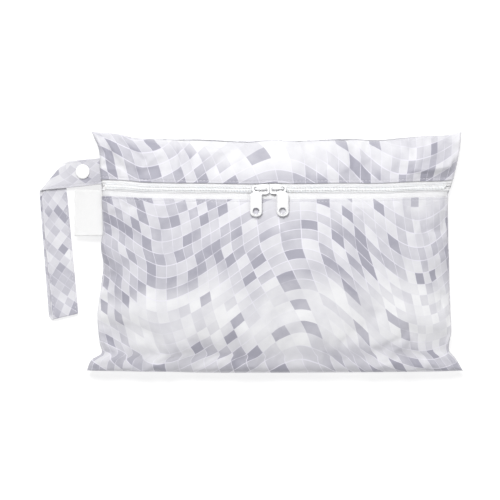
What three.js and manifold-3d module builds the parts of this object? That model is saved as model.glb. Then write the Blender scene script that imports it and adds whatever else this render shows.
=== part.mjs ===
import * as THREE from 'three';
import { mergeVertices } from 'three/addons/utils/BufferGeometryUtils.js';
import Module from 'manifold-3d';

const wasm = await Module();
wasm.setup();

// A zipped pouch of coated cloth, lying on its back, with its strap and label at the left.
// Millimetres. +X runs along the zipper to the right, +Y to the top edge, +Z up from the floor.
// The origin is on the floor, under the middle of the back.

// Pouch
const BODY_WIDTH = 297.5;
const BODY_HEIGHT = 197.2;
const SIDE_PULL = 12;
const TOP_PULL = 6.8;
const CLOTH = 1.2;
const EDGE_TURN = 2.2;
const SEAM_GAP = 0.3;
const SEAM_HEIGHT = 11;
const EAR_DROP = 3.5;
const FRONT_DEPTH = 21.5;
const BACK_DEPTH = 15;
const FOLD_HEIGHT = 3;
const FOLD_WIDTH = 10;
const RELIEF_ONSET = 2.5;

// Zipper
const ZIP_FROM_BOTTOM = 154.7;
const CHAIN_WIDTH = 5.4;
const CHAIN_THICKNESS = 1.8;
const CHAIN_ROUNDING = 0.55;
const UPPER_EDGE_FROM_ZIP = 5.1;
const LOWER_EDGE_FROM_ZIP = 8.2;
const TAPE_WIDTH = 14;
const TAPE_THICKNESS = 0.7;
const TAPE_SPLIT = 0.4;
const GROOVE_DEPTH = 1;
const GROOVE_WIDTH = 15;
const GAP = 0.3;

// Sliders, nose to nose where the two closed chains meet
const MEETING_X = -5.1;
const SLIDER_LENGTH = 12.4;
const POST_FROM_TAIL = 1.4;
const PLATE_THICKNESS = 0.9;
const FLANGE_THICKNESS = 0.7;
const NOSE_WIDTH = 8.8;
const NOSE_FLAT = 0.4;
const BELLY_SHARE = 0.62;
const WEDGE_WIDTH = 2.4;
const WEDGE_LENGTH = 3.4;
const WEDGE_FROM_NOSE = 0.6;
const BRIDGE_WIDTH = 1.8;
const BRIDGE_CLEARANCE = 0.6;
const BRIDGE_THICKNESS = 1.1;
const BRIDGE_REACH = 9.4;
const BRIDGE_ROUND = 1.1;
const POST_LENGTH = 2;
const SLIDER_CLEARANCE = 0.45;

// Pull tabs
const PULL_REACH = 23.7;
const PULL_WIDTH = 10.4;
const PULL_THICKNESS = 1.2;
const RIM_WIDTH = 1.1;
const RIM_INSET = 0.12;
const RIM_RISE = 0.5;
const RING_RADIUS = 3.3;
const RING_CLEARANCE = 0.4;
const NECK_WIDTH = 5;
const SHOULDER_FROM_POST = 5.2;
const PULL_HOLE_RADIUS = 2.7;
const PULL_HOLE_FROM_TIP = 4.9;

// Strap
const STRAP_WIDTH = 22.4;
const STRAP_THICKNESS = 1.1;
const STRAP_GAP = 0.3;
const STRAP_FROM_BOTTOM = 169.8;
const STRAP_TO_FOLD = 37.8;
const STRAP_LENGTH = 159;
const STRAP_FALL = 5.3;
const STRAP_HANG = 4.4;
const STRAP_TUCK = 6;
const STRAP_SLOPE_LENGTH = 28;
const STRAP_FLOOR_GAP = 0.1;
const END_LOOP_RISE = 1.8;
const END_LOOP_LENGTH = 9;

// Snap
const SNAP_FROM_SEAM = 14.6;
const SNAP_ABOVE_MIDDLE = 1.1;
const CAP_RADIUS = 6.2;
const CAP_THICKNESS = 1.7;
const CAP_EDGE = 0.6;
const CLASP_RADIUS = 5.1;
const CLASP_THICKNESS = 2.3;
const SNAP_POST_RADIUS = 1.2;
const SNAP_HOLE_RADIUS = 1.5;

// Side label
const LABEL_REACH = 23.5;
const LABEL_HEIGHT = 39.5;
const LABEL_THICKNESS = 0.9;
const LABEL_FROM_BOTTOM = 134.5;
const LABEL_DROOP = 3.5;
const LABEL_TUCK = 5;

const WHITE = 0xf4f4f5;
const PRINT = 0xd6d5e2;
const INSIDE = 0xe9e9ee;
const RESIN = 0xfafafa;

// The outline is the ear-to-ear frame with each side drawn in.
// along: share of that side, pull: share of SIDE_PULL or TOP_PULL.
const LEFT_EDGE = [
  { along: 0, pull: 0 },
  { along: 0.05, pull: 0.35 },
  { along: 0.075, pull: 1.05 },
  { along: 0.12, pull: 0.9 },
  { along: 0.24, pull: 0.75 },
  { along: 0.35, pull: 0.95 },
  { along: 0.46, pull: 1.17 },
  { along: 0.53, pull: 1 },
  { along: 0.6, pull: 1.13 },
  { along: 0.75, pull: 1.08 },
  { along: 0.85, pull: 0.98 },
  { along: 0.93, pull: 0.9 },
  { along: 1, pull: 0.35 },
];
const RIGHT_EDGE = [
  { along: 0, pull: 0 },
  { along: 0.06, pull: 0.6 },
  { along: 0.09, pull: 1.02 },
  { along: 0.17, pull: 0.85 },
  { along: 0.3, pull: 0.95 },
  { along: 0.45, pull: 1.02 },
  { along: 0.6, pull: 1.12 },
  { along: 0.75, pull: 1.06 },
  { along: 0.79, pull: 0.8 },
  { along: 0.84, pull: 0.6 },
  { along: 0.92, pull: 0.28 },
  { along: 1, pull: 0.1 },
];
const TOP_EDGE = [
  { along: 0, pull: 0 },
  { along: 0.07, pull: 0.3 },
  { along: 0.12, pull: 0.8 },
  { along: 0.22, pull: 1.05 },
  { along: 0.3, pull: 1.08 },
  { along: 0.42, pull: 1.3 },
  { along: 0.48, pull: 1.08 },
  { along: 0.55, pull: 1.2 },
  { along: 0.7, pull: 1 },
  { along: 0.77, pull: 1.12 },
  { along: 0.84, pull: 0.85 },
  { along: 0.9, pull: 0.58 },
  { along: 0.97, pull: 0.4 },
  { along: 1, pull: 0 },
];
const BOTTOM_EDGE = [
  { along: 0, pull: 0 },
  { along: 0.3, pull: -0.1 },
  { along: 0.7, pull: -0.1 },
  { along: 1, pull: 0 },
];

// Folds and dents of the front. u, v: shares of the width and height at each end of the fold.
// height: share of FOLD_HEIGHT, dents below zero. width: share of FOLD_WIDTH.
const FRONT_FOLDS = [
  { name: 'ear top left', u0: 0.01, v0: 0.99, u1: 0.12, v1: 0.88, height: 0.9, width: 0.8 },
  { name: 'ear top right', u0: 0.99, v0: 0.99, u1: 0.88, v1: 0.89, height: 0.8, width: 0.9 },
  { name: 'ear bottom left', u0: 0.01, v0: 0.01, u1: 0.13, v1: 0.13, height: 0.9, width: 0.8 },
  { name: 'ear bottom right', u0: 0.99, v0: 0.01, u1: 0.88, v1: 0.12, height: 0.8, width: 0.8 },
  { name: 'crease at zip end', u0: 0.98, v0: 0.88, u1: 0.86, v1: 0.83, height: 1, width: 0.6 },
  { name: 'dent above zip end', u0: 0.99, v0: 0.83, u1: 0.9, v1: 0.82, height: -0.6, width: 0.8 },
  { name: 'dent left side high', u0: 0, v0: 0.6, u1: 0.1, v1: 0.58, height: -0.7, width: 1 },
  { name: 'dent left side low', u0: 0, v0: 0.42, u1: 0.12, v1: 0.46, height: -0.7, width: 1.1 },
  { name: 'ridge left side', u0: 0, v0: 0.24, u1: 0.12, v1: 0.27, height: 0.6, width: 1 },
  { name: 'dent right side', u0: 1, v0: 0.62, u1: 0.9, v1: 0.6, height: -0.6, width: 1.1 },
  { name: 'ridge right side', u0: 1, v0: 0.17, u1: 0.9, v1: 0.22, height: 0.6, width: 1 },
  { name: 'dent top left', u0: 0.25, v0: 1, u1: 0.27, v1: 0.9, height: -0.5, width: 1.2 },
  { name: 'dent top middle', u0: 0.42, v0: 1, u1: 0.41, v1: 0.91, height: -0.6, width: 1 },
  { name: 'dent top right', u0: 0.77, v0: 1, u1: 0.75, v1: 0.9, height: -0.5, width: 1.1 },
  { name: 'crease bottom left', u0: 0.26, v0: 0, u1: 0.3, v1: 0.09, height: -0.6, width: 0.9 },
  { name: 'crease bottom right', u0: 0.66, v0: 0, u1: 0.64, v1: 0.09, height: -0.5, width: 1 },
];

// How full the pouch is along each way: the larger the power, the flatter the middle.
const WIDTH_POWER = 2.7;
const FRONT_POWER = 2.3;
const BACK_POWER = 2.6;
// How closely the rows near the top follow its raised ears.
const EAR_CROWDING = 4;

// Faceting
const COLUMNS = 34;
const LOWER_ROWS = 14;
const UPPER_ROWS = 5;
const CHAIN_ROWS = 4;
const ROUND_STEPS = 20;
const CURVE_STEPS = 6;
const EDGE_CROWDING = 0.7;

const clamp = (x, low, high) => Math.min(high, Math.max(low, x));
const smooth = (x) => clamp(x, 0, 1) ** 2 * (3 - 2 * clamp(x, 0, 1));

// A smooth curve through the rows of a table.
function follow(rows, along) {
  let k = 0;
  while (k < rows.length - 2 && rows[k + 1].along < along) k += 1;
  const slope = (j) => {
    const low = rows[Math.max(0, j - 1)];
    const high = rows[Math.min(rows.length - 1, j + 1)];
    return (high.pull - low.pull) / (high.along - low.along);
  };
  const span = rows[k + 1].along - rows[k].along;
  const s = (along - rows[k].along) / span;
  const from = rows[k].pull * (1 + 2 * s) * (1 - s) ** 2 + slope(k) * span * s * (1 - s) ** 2;
  const to = rows[k + 1].pull * (3 - 2 * s) * s ** 2 + slope(k + 1) * span * (s - 1) * s ** 2;
  return from + to;
}

// Inset of a share of the way across: whole at each edge, none within.
const insetAt = (share, inset) => inset * ((1 - share) ** 8 - share ** 8);

// Plan of the pouch: shares u and v of its width and height, moved inward by inset at the edges.
function plan(u, v, inset) {
  const halfWidth = BODY_WIDTH / 2 + SIDE_PULL;
  const bottom = -BODY_HEIGHT / 2;
  const top = BODY_HEIGHT / 2 + TOP_PULL;
  const left = -halfWidth + SIDE_PULL * follow(LEFT_EDGE, v);
  const right = halfWidth - SIDE_PULL * follow(RIGHT_EDGE, v);
  const low = bottom + TOP_PULL * follow(BOTTOM_EDGE, u);
  const high = top - TOP_PULL * follow(TOP_EDGE, u);
  const spare = high - low - BODY_HEIGHT;
  return {
    x: left + (right - left) * u + insetAt(u, inset),
    y: low + BODY_HEIGHT * v + spare * v ** EAR_CROWDING + insetAt(v, inset),
  };
}

// Share of the height at a distance above the zipper's middle line.
const besideZip = (distance) => (ZIP_FROM_BOTTOM + distance) / BODY_HEIGHT;
const ZIP_V = besideZip(0);

const bulge = (share, power) => Math.sqrt(1 - Math.abs(2 * share - 1) ** power);
const frontFullness = (u, v) => bulge(u, WIDTH_POWER) * bulge(v, FRONT_POWER);
const backFullness = (u, v) => bulge(u, WIDTH_POWER) * bulge(v, BACK_POWER);

// Height of the seam between front and back: level along the sides, lower at the four ears.
function seamHeight(u, v) {
  const ear = Math.abs(2 * u - 1) ** 8 * Math.abs(2 * v - 1) ** 10;
  return SEAM_HEIGHT - EAR_DROP * ear;
}

// Distance up a side seam from the bottom, and the share of the height there.
const upSide = (v) => BODY_HEIGHT * v + TOP_PULL * v ** EAR_CROWDING;
function sideShare(distance) {
  let v = distance / BODY_HEIGHT;
  for (let k = 0; k < 6; k += 1) v += (distance - upSide(v)) / BODY_HEIGHT;
  return v;
}

// The left seam parts round the strap and the label that are sewn into it.
const STRAP_STACK = 2 * STRAP_THICKNESS + STRAP_GAP;
const PART_SHOULDER = 12;
const PARTINGS = [
  { middle: STRAP_FROM_BOTTOM, half: STRAP_WIDTH / 2 + 5, stack: STRAP_STACK + 4 * GAP },
  { middle: LABEL_FROM_BOTTOM, half: LABEL_HEIGHT / 2 + 2, stack: LABEL_THICKNESS + 2 * GAP },
];
function seamGap(u, v) {
  const near = 1 - smooth((u * BODY_WIDTH) / PART_SHOULDER);
  let opening = SEAM_GAP;
  for (const part of PARTINGS) {
    const away = Math.abs(upSide(v) - part.middle) - part.half;
    opening = Math.max(opening, part.stack * near * (1 - smooth(away / PART_SHOULDER)));
  }
  return opening;
}

function foldHeight(fold, u, v) {
  const along = { x: (fold.u1 - fold.u0) * BODY_WIDTH, y: (fold.v1 - fold.v0) * BODY_HEIGHT };
  const from = { x: (u - fold.u0) * BODY_WIDTH, y: (v - fold.v0) * BODY_HEIGHT };
  const length = Math.hypot(along.x, along.y);
  const share = clamp((from.x * along.x + from.y * along.y) / length ** 2, 0, 1);
  const away = Math.hypot(from.x - along.x * share, from.y - along.y * share);
  const fade = 1 - 0.5 * share;
  return fold.height * FOLD_HEIGHT * fade * Math.exp(-((away / (fold.width * FOLD_WIDTH)) ** 2));
}

function relief(u, v) {
  const fromZip = (v - ZIP_V) * BODY_HEIGHT;
  const groove = GROOVE_DEPTH * Math.exp(-((fromZip / GROOVE_WIDTH) ** 2));
  const folds = FRONT_FOLDS.reduce((sum, fold) => sum + foldHeight(fold, u, v), 0);
  const room = smooth(RELIEF_ONSET * frontFullness(u, v));
  return (folds - groove) * room;
}

// The wall stands upright at the seam and lies over the pouch within: share of its thickness.
function wallShare(u, v) {
  const across = Math.min(u, 1 - u) * BODY_WIDTH;
  const up = Math.min(v, 1 - v) * BODY_HEIGHT;
  return clamp(Math.min(across, up) / EDGE_TURN, 0, 1);
}

// Height of the seam under a point that is moved inward by inset.
function seamUnder(u, v, inset) {
  const across = clamp(u + insetAt(u, inset) / BODY_WIDTH, 0, 1);
  const up = clamp(v + insetAt(v, inset) / BODY_HEIGHT, 0, 1);
  return seamHeight(across, up);
}

// A point of the front at a depth below its outer face.
function frontPoint(u, v, depth) {
  const inset = Math.max(0, depth);
  const place = plan(u, v, inset);
  const rise = FRONT_DEPTH * frontFullness(u, v) + (CLOTH - depth) * wallShare(u, v);
  const z = seamUnder(u, v, inset) + seamGap(u, v) / 2 + rise + relief(u, v);
  return new THREE.Vector3(place.x, place.y, z);
}

// A point of the back at a depth inside its outer face, which the floor presses flat.
function backPoint(u, v, depth) {
  const place = plan(u, v, depth);
  const seam = seamUnder(u, v, depth) - seamGap(u, v) / 2;
  const drop = Math.min(BACK_DEPTH * backFullness(u, v), seam - CLOTH);
  return new THREE.Vector3(place.x, place.y, seam - drop - (CLOTH - depth) * wallShare(u, v));
}

// Turns triangles over merged points into a geometry.
function solid(points, triangles) {
  const geometry = new THREE.BufferGeometry();
  const positions = points.flatMap((p) => [p.x, p.y, p.z]);
  geometry.setAttribute('position', new THREE.Float32BufferAttribute(positions, 3));
  geometry.setIndex(triangles);
  geometry.computeVertexNormals();
  return geometry;
}

// A closed slab between two like grids of points, upper facing up.
function slab(upper, lower) {
  const rows = upper.length;
  const columns = upper[0].length;
  const points = [...upper.flat(), ...lower.flat()];
  const top = (i, j) => i * columns + j;
  const under = (i, j) => rows * columns + i * columns + j;
  const triangles = [];
  const quad = (a, b, c, d) => triangles.push(a, b, c, a, c, d);
  for (let i = 0; i < rows - 1; i += 1) {
    for (let j = 0; j < columns - 1; j += 1) {
      quad(top(i, j), top(i, j + 1), top(i + 1, j + 1), top(i + 1, j));
      quad(under(i, j), under(i + 1, j), under(i + 1, j + 1), under(i, j + 1));
    }
  }
  for (let j = 0; j < columns - 1; j += 1) {
    quad(under(0, j), under(0, j + 1), top(0, j + 1), top(0, j));
    quad(top(rows - 1, j), top(rows - 1, j + 1), under(rows - 1, j + 1), under(rows - 1, j));
  }
  for (let i = 0; i < rows - 1; i += 1) {
    quad(top(i, 0), top(i + 1, 0), under(i + 1, 0), under(i, 0));
    quad(under(i, columns - 1), under(i + 1, columns - 1), top(i + 1, columns - 1), top(i, columns - 1));
  }
  return solid(points, triangles);
}

const grid = (us, vs, at) => vs.map((v) => us.map((u) => at(u, v)));

// Shares from 0 to 1, closer together near both ends, or near the first end only.
const crowdedBoth = (count) => Array.from({ length: count + 1 }, (_, k) => {
  const s = k / count;
  return EDGE_CROWDING * (0.5 - 0.5 * Math.cos(Math.PI * s)) + (1 - EDGE_CROWDING) * s;
});
const crowdedStart = (count) => Array.from({ length: count + 1 }, (_, k) => {
  const s = k / count;
  return EDGE_CROWDING * (1 - Math.cos((Math.PI / 2) * s)) + (1 - EDGE_CROWDING) * s;
});

const columns = crowdedBoth(COLUMNS);

function frontPanel(vs) {
  const outer = grid(columns, vs, (u, v) => frontPoint(u, v, 0));
  const inner = grid(columns, vs, (u, v) => frontPoint(u, v, CLOTH));
  return slab(outer, inner);
}

// Each front panel has a row over the hidden edge of its tape, and one at its own edge.
const lowerRows = [
  ...crowdedStart(LOWER_ROWS).map((s) => s * besideZip(-TAPE_WIDTH)),
  besideZip(-LOWER_EDGE_FROM_ZIP),
];
const upperRows = [
  ...crowdedStart(UPPER_ROWS).map((s) => 1 - s * (1 - besideZip(TAPE_WIDTH))),
  besideZip(UPPER_EDGE_FROM_ZIP),
].reverse();

function backPanel() {
  const vs = [...lowerRows, ...upperRows];
  const inner = grid(columns, vs, (u, v) => backPoint(u, v, CLOTH));
  const outer = grid(columns, vs, (u, v) => backPoint(u, v, 0));
  return slab(inner, outer);
}

// The column share at a distance along X, near the middle of the zipper.
function shareAt(x) {
  const low = plan(0, ZIP_V, 0).x;
  const high = plan(1, ZIP_V, 0).x;
  return (x - low) / (high - low);
}

const SLIDER_NOSE = GAP / 2;
const POST_X = SLIDER_NOSE + SLIDER_LENGTH - POST_FROM_TAIL;
const PARTING_REACH = SLIDER_LENGTH - POST_FROM_TAIL;

// Half the space between the tapes: a slit, opened to a lens round the sliders' wedges.
function tapeSplit(u) {
  const from = (u - shareAt(MEETING_X)) * BODY_WIDTH;
  const lens = Math.max(0, 1 - (from / PARTING_REACH) ** 2);
  return TAPE_SPLIT / 2 + (WEDGE_WIDTH / 2 + SLIDER_CLEARANCE) * Math.sqrt(lens);
}

// One tape under its panel's edge. side: 1 above the zipper, -1 below.
function tape(side) {
  const near = [-1, -0.9, -0.6, 0, 0.6, 0.9, 1];
  const extra = near.map((share) => shareAt(MEETING_X + share * PARTING_REACH));
  const clear = (u) => Math.abs(u - shareAt(MEETING_X)) > (PARTING_REACH + 1) / BODY_WIDTH;
  const us = [...columns.filter(clear), ...extra].sort((a, b) => a - b);
  const top = CLOTH + GAP;
  const panelEdge = side > 0 ? UPPER_EDGE_FROM_ZIP : LOWER_EDGE_FROM_ZIP;
  const rows = [tapeSplit, () => CHAIN_WIDTH / 2, () => panelEdge, () => TAPE_WIDTH];
  const ordered = side > 0 ? rows : rows.reverse();
  const layer = (depth) => ordered.map((row) => (
    us.map((u) => frontPoint(u, besideZip(side * row(u)), depth))
  ));
  return slab(layer(top), layer(top + TAPE_THICKNESS));
}

// The closed chain from one side seam into its slider's tail. side: -1 left, 1 right.
const CHAIN_START = 0.012;
const CHAIN_IN_TAIL = 2.5;
function chain(side) {
  const tail = shareAt(MEETING_X + side * (POST_X + POST_FROM_TAIL - CHAIN_IN_TAIL));
  const end = side < 0 ? CHAIN_START : 1 - CHAIN_START;
  const between = columns.filter((u) => (side < 0 ? u > end && u < tail : u < end && u > tail));
  const us = [end, ...between, tail].sort((a, b) => a - b);
  const rows = Array.from({ length: CHAIN_ROWS + 1 }, (_, k) => (2 * k) / CHAIN_ROWS - 1);
  const crown = (s) => CLOTH - CHAIN_THICKNESS * (1 - CHAIN_ROUNDING * s ** 4);
  const layer = (depthAt) => rows.map((s) => {
    const v = besideZip((s * CHAIN_WIDTH) / 2);
    return us.map((u) => frontPoint(u, v, depthAt(s)));
  });
  return slab(layer(crown), layer(() => CLOTH));
}

// Booleans over merged points
function toManifold(geometry) {
  const bare = geometry.clone();
  bare.deleteAttribute('normal');
  bare.deleteAttribute('uv');
  const merged = mergeVertices(bare, 1e-4);
  const vertProperties = new Float32Array(merged.attributes.position.array);
  const triVerts = new Uint32Array(merged.index.array);
  return new wasm.Manifold(new wasm.Mesh({ numProp: 3, vertProperties, triVerts }));
}

function fromManifold(manifold) {
  const mesh = manifold.getMesh();
  const geometry = new THREE.BufferGeometry();
  geometry.setAttribute('position', new THREE.BufferAttribute(new Float32Array(mesh.vertProperties), 3));
  geometry.setIndex(new THREE.BufferAttribute(new Uint32Array(mesh.triVerts), 1));
  geometry.computeVertexNormals();
  return geometry;
}

const join = (...pieces) => fromManifold(pieces.map(toManifold).reduce((a, b) => a.add(b)));
const cut = (body, tool) => fromManifold(toManifold(body).subtract(toManifold(tool)));

function extrude(shape, low, high) {
  const geometry = new THREE.ExtrudeGeometry(shape, {
    depth: high - low,
    bevelEnabled: false,
    curveSegments: CURVE_STEPS,
  });
  return geometry.translate(0, 0, low);
}

// Levels of the slider, from the middle of the chain's thickness, along the surface's normal.
const CHAIN_MIDDLE_DEPTH = CLOTH - CHAIN_THICKNESS / 2;
const CHANNEL_TOP = CHAIN_THICKNESS / 2 + GAP;
const TAPE_TOP = -CHAIN_THICKNESS / 2 - GAP;
const BASE_TOP = TAPE_TOP - TAPE_THICKNESS - SLIDER_CLEARANCE;
const PLATE_TOP = CHANNEL_TOP + PLATE_THICKNESS;
const PULL_BOTTOM = PLATE_TOP + GAP;
const BRIDGE_BOTTOM = PULL_BOTTOM + PULL_THICKNESS + BRIDGE_CLEARANCE;
const TAIL_HALF = CHAIN_WIDTH / 2 + GAP + FLANGE_THICKNESS;

// Outline of a slider's plates: narrow tail, wide rounded nose. x runs from the post to the nose.
function plateOutline(grow) {
  const tail = -POST_FROM_TAIL;
  const nose = SLIDER_LENGTH - POST_FROM_TAIL;
  const half = TAIL_HALF + grow;
  const wide = NOSE_WIDTH / 2 + grow;
  const belly = nose * BELLY_SHARE;
  const shape = new THREE.Shape();
  shape.moveTo(tail, -half);
  shape.lineTo(belly * 0.35, -half);
  shape.quadraticCurveTo(belly * 0.6, -wide, belly, -wide);
  shape.quadraticCurveTo(nose, -wide, nose, -wide * NOSE_FLAT);
  shape.lineTo(nose, wide * NOSE_FLAT);
  shape.quadraticCurveTo(nose, wide, belly, wide);
  shape.quadraticCurveTo(belly * 0.6, wide, belly * 0.35, half);
  shape.lineTo(tail, half);
  shape.closePath();
  return shape;
}

// Side view of the bridge over the pull's ring, drawn in x and z.
function bridgeOutline() {
  const back = -POST_LENGTH / 2;
  const front = BRIDGE_REACH;
  const top = BRIDGE_BOTTOM + BRIDGE_THICKNESS;
  const foot = PLATE_TOP - PLATE_THICKNESS / 2;
  const shape = new THREE.Shape();
  shape.moveTo(back, foot);
  shape.lineTo(POST_LENGTH / 2, foot);
  shape.lineTo(POST_LENGTH / 2, BRIDGE_BOTTOM);
  shape.lineTo(front - POST_LENGTH - BRIDGE_ROUND, BRIDGE_BOTTOM);
  const inner = front - POST_LENGTH;
  shape.quadraticCurveTo(inner, BRIDGE_BOTTOM, inner, BRIDGE_BOTTOM - BRIDGE_ROUND);
  shape.lineTo(front - POST_LENGTH, foot);
  shape.lineTo(front, foot);
  shape.lineTo(front, top - 2 * BRIDGE_ROUND);
  shape.quadraticCurveTo(front, top, front - 2 * BRIDGE_ROUND, top);
  shape.lineTo(back + BRIDGE_ROUND, top);
  shape.quadraticCurveTo(back, top, back, top - BRIDGE_ROUND);
  shape.closePath();
  return shape;
}

function bridge() {
  const bar = extrude(bridgeOutline(), -BRIDGE_WIDTH / 2, BRIDGE_WIDTH / 2);
  return bar.rotateX(Math.PI / 2);
}

function wedge() {
  const middle = SLIDER_LENGTH - POST_FROM_TAIL - WEDGE_LENGTH / 2 - WEDGE_FROM_NOSE;
  const shape = new THREE.Shape();
  shape.moveTo(middle - WEDGE_LENGTH / 2, 0);
  shape.lineTo(middle, -WEDGE_WIDTH / 2);
  shape.lineTo(middle + WEDGE_LENGTH / 2, 0);
  shape.lineTo(middle, WEDGE_WIDTH / 2);
  shape.closePath();
  const low = BASE_TOP - PLATE_THICKNESS / 2;
  return extrude(shape, low, CHANNEL_TOP + PLATE_THICKNESS / 2);
}

// Two plates joined by the wedge, flanges round the chain, and the bridge that holds the pull.
function slider() {
  const block = extrude(plateOutline(0), TAPE_TOP + SLIDER_CLEARANCE, PLATE_TOP);
  const channel = extrude(plateOutline(-FLANGE_THICKNESS), TAPE_TOP, CHANNEL_TOP);
  channel.scale(2, 1, 1);
  const shell = cut(block, channel);
  const base = extrude(plateOutline(0), BASE_TOP - PLATE_THICKNESS, BASE_TOP);
  return join(shell, base, wedge(), bridge());
}

// Flat pull, hanging along -y from the ring round the post.
function pullOutline(inset) {
  const half = PULL_WIDTH / 2 - inset;
  const neck = NECK_WIDTH / 2 - inset;
  const tip = -PULL_REACH + inset;
  const corner = half * 0.85;
  const shape = new THREE.Shape();
  shape.moveTo(-neck, -RING_RADIUS * 0.6);
  shape.bezierCurveTo(-neck, -SHOULDER_FROM_POST * 0.7, -half, -SHOULDER_FROM_POST * 0.7, -half,
    -SHOULDER_FROM_POST);
  shape.lineTo(-half, tip + corner);
  shape.bezierCurveTo(-half, tip + corner * 0.4, -half * 0.55, tip, 0, tip);
  shape.bezierCurveTo(half * 0.55, tip, half, tip + corner * 0.4, half, tip + corner);
  shape.lineTo(half, -SHOULDER_FROM_POST);
  shape.bezierCurveTo(half, -SHOULDER_FROM_POST * 0.7, neck, -SHOULDER_FROM_POST * 0.7, neck,
    -RING_RADIUS * 0.6);
  shape.closePath();
  return shape;
}

function disc(radius, low, high, steps = ROUND_STEPS) {
  const round = new THREE.CylinderGeometry(radius, radius, high - low, steps);
  return round.rotateX(Math.PI / 2).translate(0, 0, (high + low) / 2);
}

function pull() {
  const top = PULL_BOTTOM + PULL_THICKNESS;
  const holeY = -PULL_REACH + PULL_HOLE_FROM_TIP;
  const body = extrude(pullOutline(0), PULL_BOTTOM, top);
  const ring = disc(RING_RADIUS, PULL_BOTTOM, top);
  const rim = cut(
    extrude(pullOutline(RIM_INSET), top - PULL_THICKNESS / 2, top + RIM_RISE),
    extrude(pullOutline(RIM_WIDTH), PULL_BOTTOM, top + 2 * RIM_RISE),
  );
  const keep = new THREE.BoxGeometry(2 * PULL_WIDTH, PULL_REACH, 10);
  keep.translate(0, SHOULDER_FROM_POST * -0.9 - PULL_REACH / 2, PULL_BOTTOM);
  const raised = fromManifold(toManifold(rim).intersect(toManifold(keep)));
  const collar = disc(PULL_HOLE_RADIUS + RIM_WIDTH * 0.7, top - PULL_THICKNESS / 2, top + RIM_RISE);
  collar.translate(0, holeY, 0);
  const hole = disc(PULL_HOLE_RADIUS, PULL_BOTTOM - 1, top + 2);
  hole.translate(0, holeY, 0);
  const postHalf = Math.hypot(POST_LENGTH, BRIDGE_WIDTH) / 2;
  const eye = disc(postHalf + RING_CLEARANCE, PULL_BOTTOM - 1, top + 2);
  return cut(cut(join(body, ring, raised, collar), hole), eye);
}

// The place and lean of the zipper's surface at a slider's post.
function zipperFrame(x) {
  const u = shareAt(x);
  const step = 0.002;
  const at = frontPoint(u, ZIP_V, CHAIN_MIDDLE_DEPTH);
  const above = frontPoint(u, ZIP_V + step, CHAIN_MIDDLE_DEPTH);
  const below = frontPoint(u, ZIP_V - step, CHAIN_MIDDLE_DEPTH);
  return { at, lean: Math.atan2(above.z - below.z, above.y - below.y) };
}

function zipperGroup(side) {
  const frame = zipperFrame(MEETING_X + side * POST_X);
  const group = new THREE.Group();
  group.position.copy(frame.at);
  group.rotation.x = frame.lean;
  return group;
}

// The strap's ribbon is bent as flat stock is: once across itself, and back at its far end.
// a runs along the ribbon from the seam, w across it, and level is the height of its middle.
const STRAP_PITCH = STRAP_THICKNESS + STRAP_GAP;
const FALL = THREE.MathUtils.degToRad(STRAP_FALL);
const HANG = THREE.MathUtils.degToRad(STRAP_HANG);
const ALONG = new THREE.Vector2(-Math.cos(FALL), -Math.sin(FALL));
const ACROSS = new THREE.Vector2(ALONG.y, -ALONG.x);
const HANGING = new THREE.Vector2(Math.sin(HANG), -Math.cos(HANG));
const FOLD_NORMAL = ALONG.clone().sub(HANGING).normalize();
const FOLD_RATE = ALONG.dot(FOLD_NORMAL);
const FOLD_SLANT = -ACROSS.dot(FOLD_NORMAL) / FOLD_RATE;
const STRAP_V = sideShare(STRAP_FROM_BOTTOM);
const STRAP_ROOT = plan(0, STRAP_V, 0);
const STRAP_FLOOR = STRAP_FLOOR_GAP + STRAP_THICKNESS / 2;
const STRAP_LIFT = seamHeight(0, STRAP_V) - (STRAP_FLOOR + 2.5 * STRAP_PITCH);
const STRAP_SLOPE = Math.atan2(STRAP_LIFT, STRAP_SLOPE_LENGTH);
const SNAP_STACK = STRAP_THICKNESS + CLASP_THICKNESS + 2 * GAP;
const SNAP_PARTING = SNAP_STACK / Math.cos(STRAP_SLOPE) - STRAP_PITCH;

const strapLift = (a) => STRAP_LIFT * clamp(1 - a / STRAP_SLOPE_LENGTH, 0, 1);

// The lower ply sags away under the snap, and rises into a soft loop at the far end.
function plyOffset(a) {
  const flat = CAP_RADIUS + GAP;
  const away = Math.abs(a - SNAP_FROM_SEAM) - flat;
  const sag = SNAP_PARTING * (1 - smooth(away / (SNAP_FROM_SEAM - flat - 1)));
  const loop = END_LOOP_RISE * Math.exp(-(((STRAP_LENGTH - a) / END_LOOP_LENGTH) ** 2));
  return loop - sag;
}

// ply 0 is outside at the fold and lies on top at the seam, ply 1 is inside.
function strapPoint(a, w, ply, side) {
  const radius = ply === 0 ? 1.5 * STRAP_PITCH : 0.5 * STRAP_PITCH;
  const highest = STRAP_FLOOR + (ply === 0 ? 3 : 2) * STRAP_PITCH;
  const past = (a - STRAP_TO_FOLD + w * FOLD_SLANT * -1) * FOLD_RATE;
  const turn = clamp(past / radius, 0, Math.PI);
  const half = (side * STRAP_THICKNESS) / 2;
  const move = past <= 0 ? 0 : (radius + half) * Math.sin(turn) - Math.min(past, Math.PI * radius)
    - 2 * Math.max(0, past - Math.PI * radius);
  const base = highest - radius + (radius + half) * Math.cos(turn);
  const lift = strapLift(a) + (ply === 1 ? plyOffset(a) : 0);
  return new THREE.Vector3(
    STRAP_ROOT.x + a * ALONG.x + w * ACROSS.x + move * FOLD_NORMAL.x,
    STRAP_ROOT.y + a * ALONG.y + w * ACROSS.y + move * FOLD_NORMAL.y,
    base + lift,
  );
}

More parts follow.
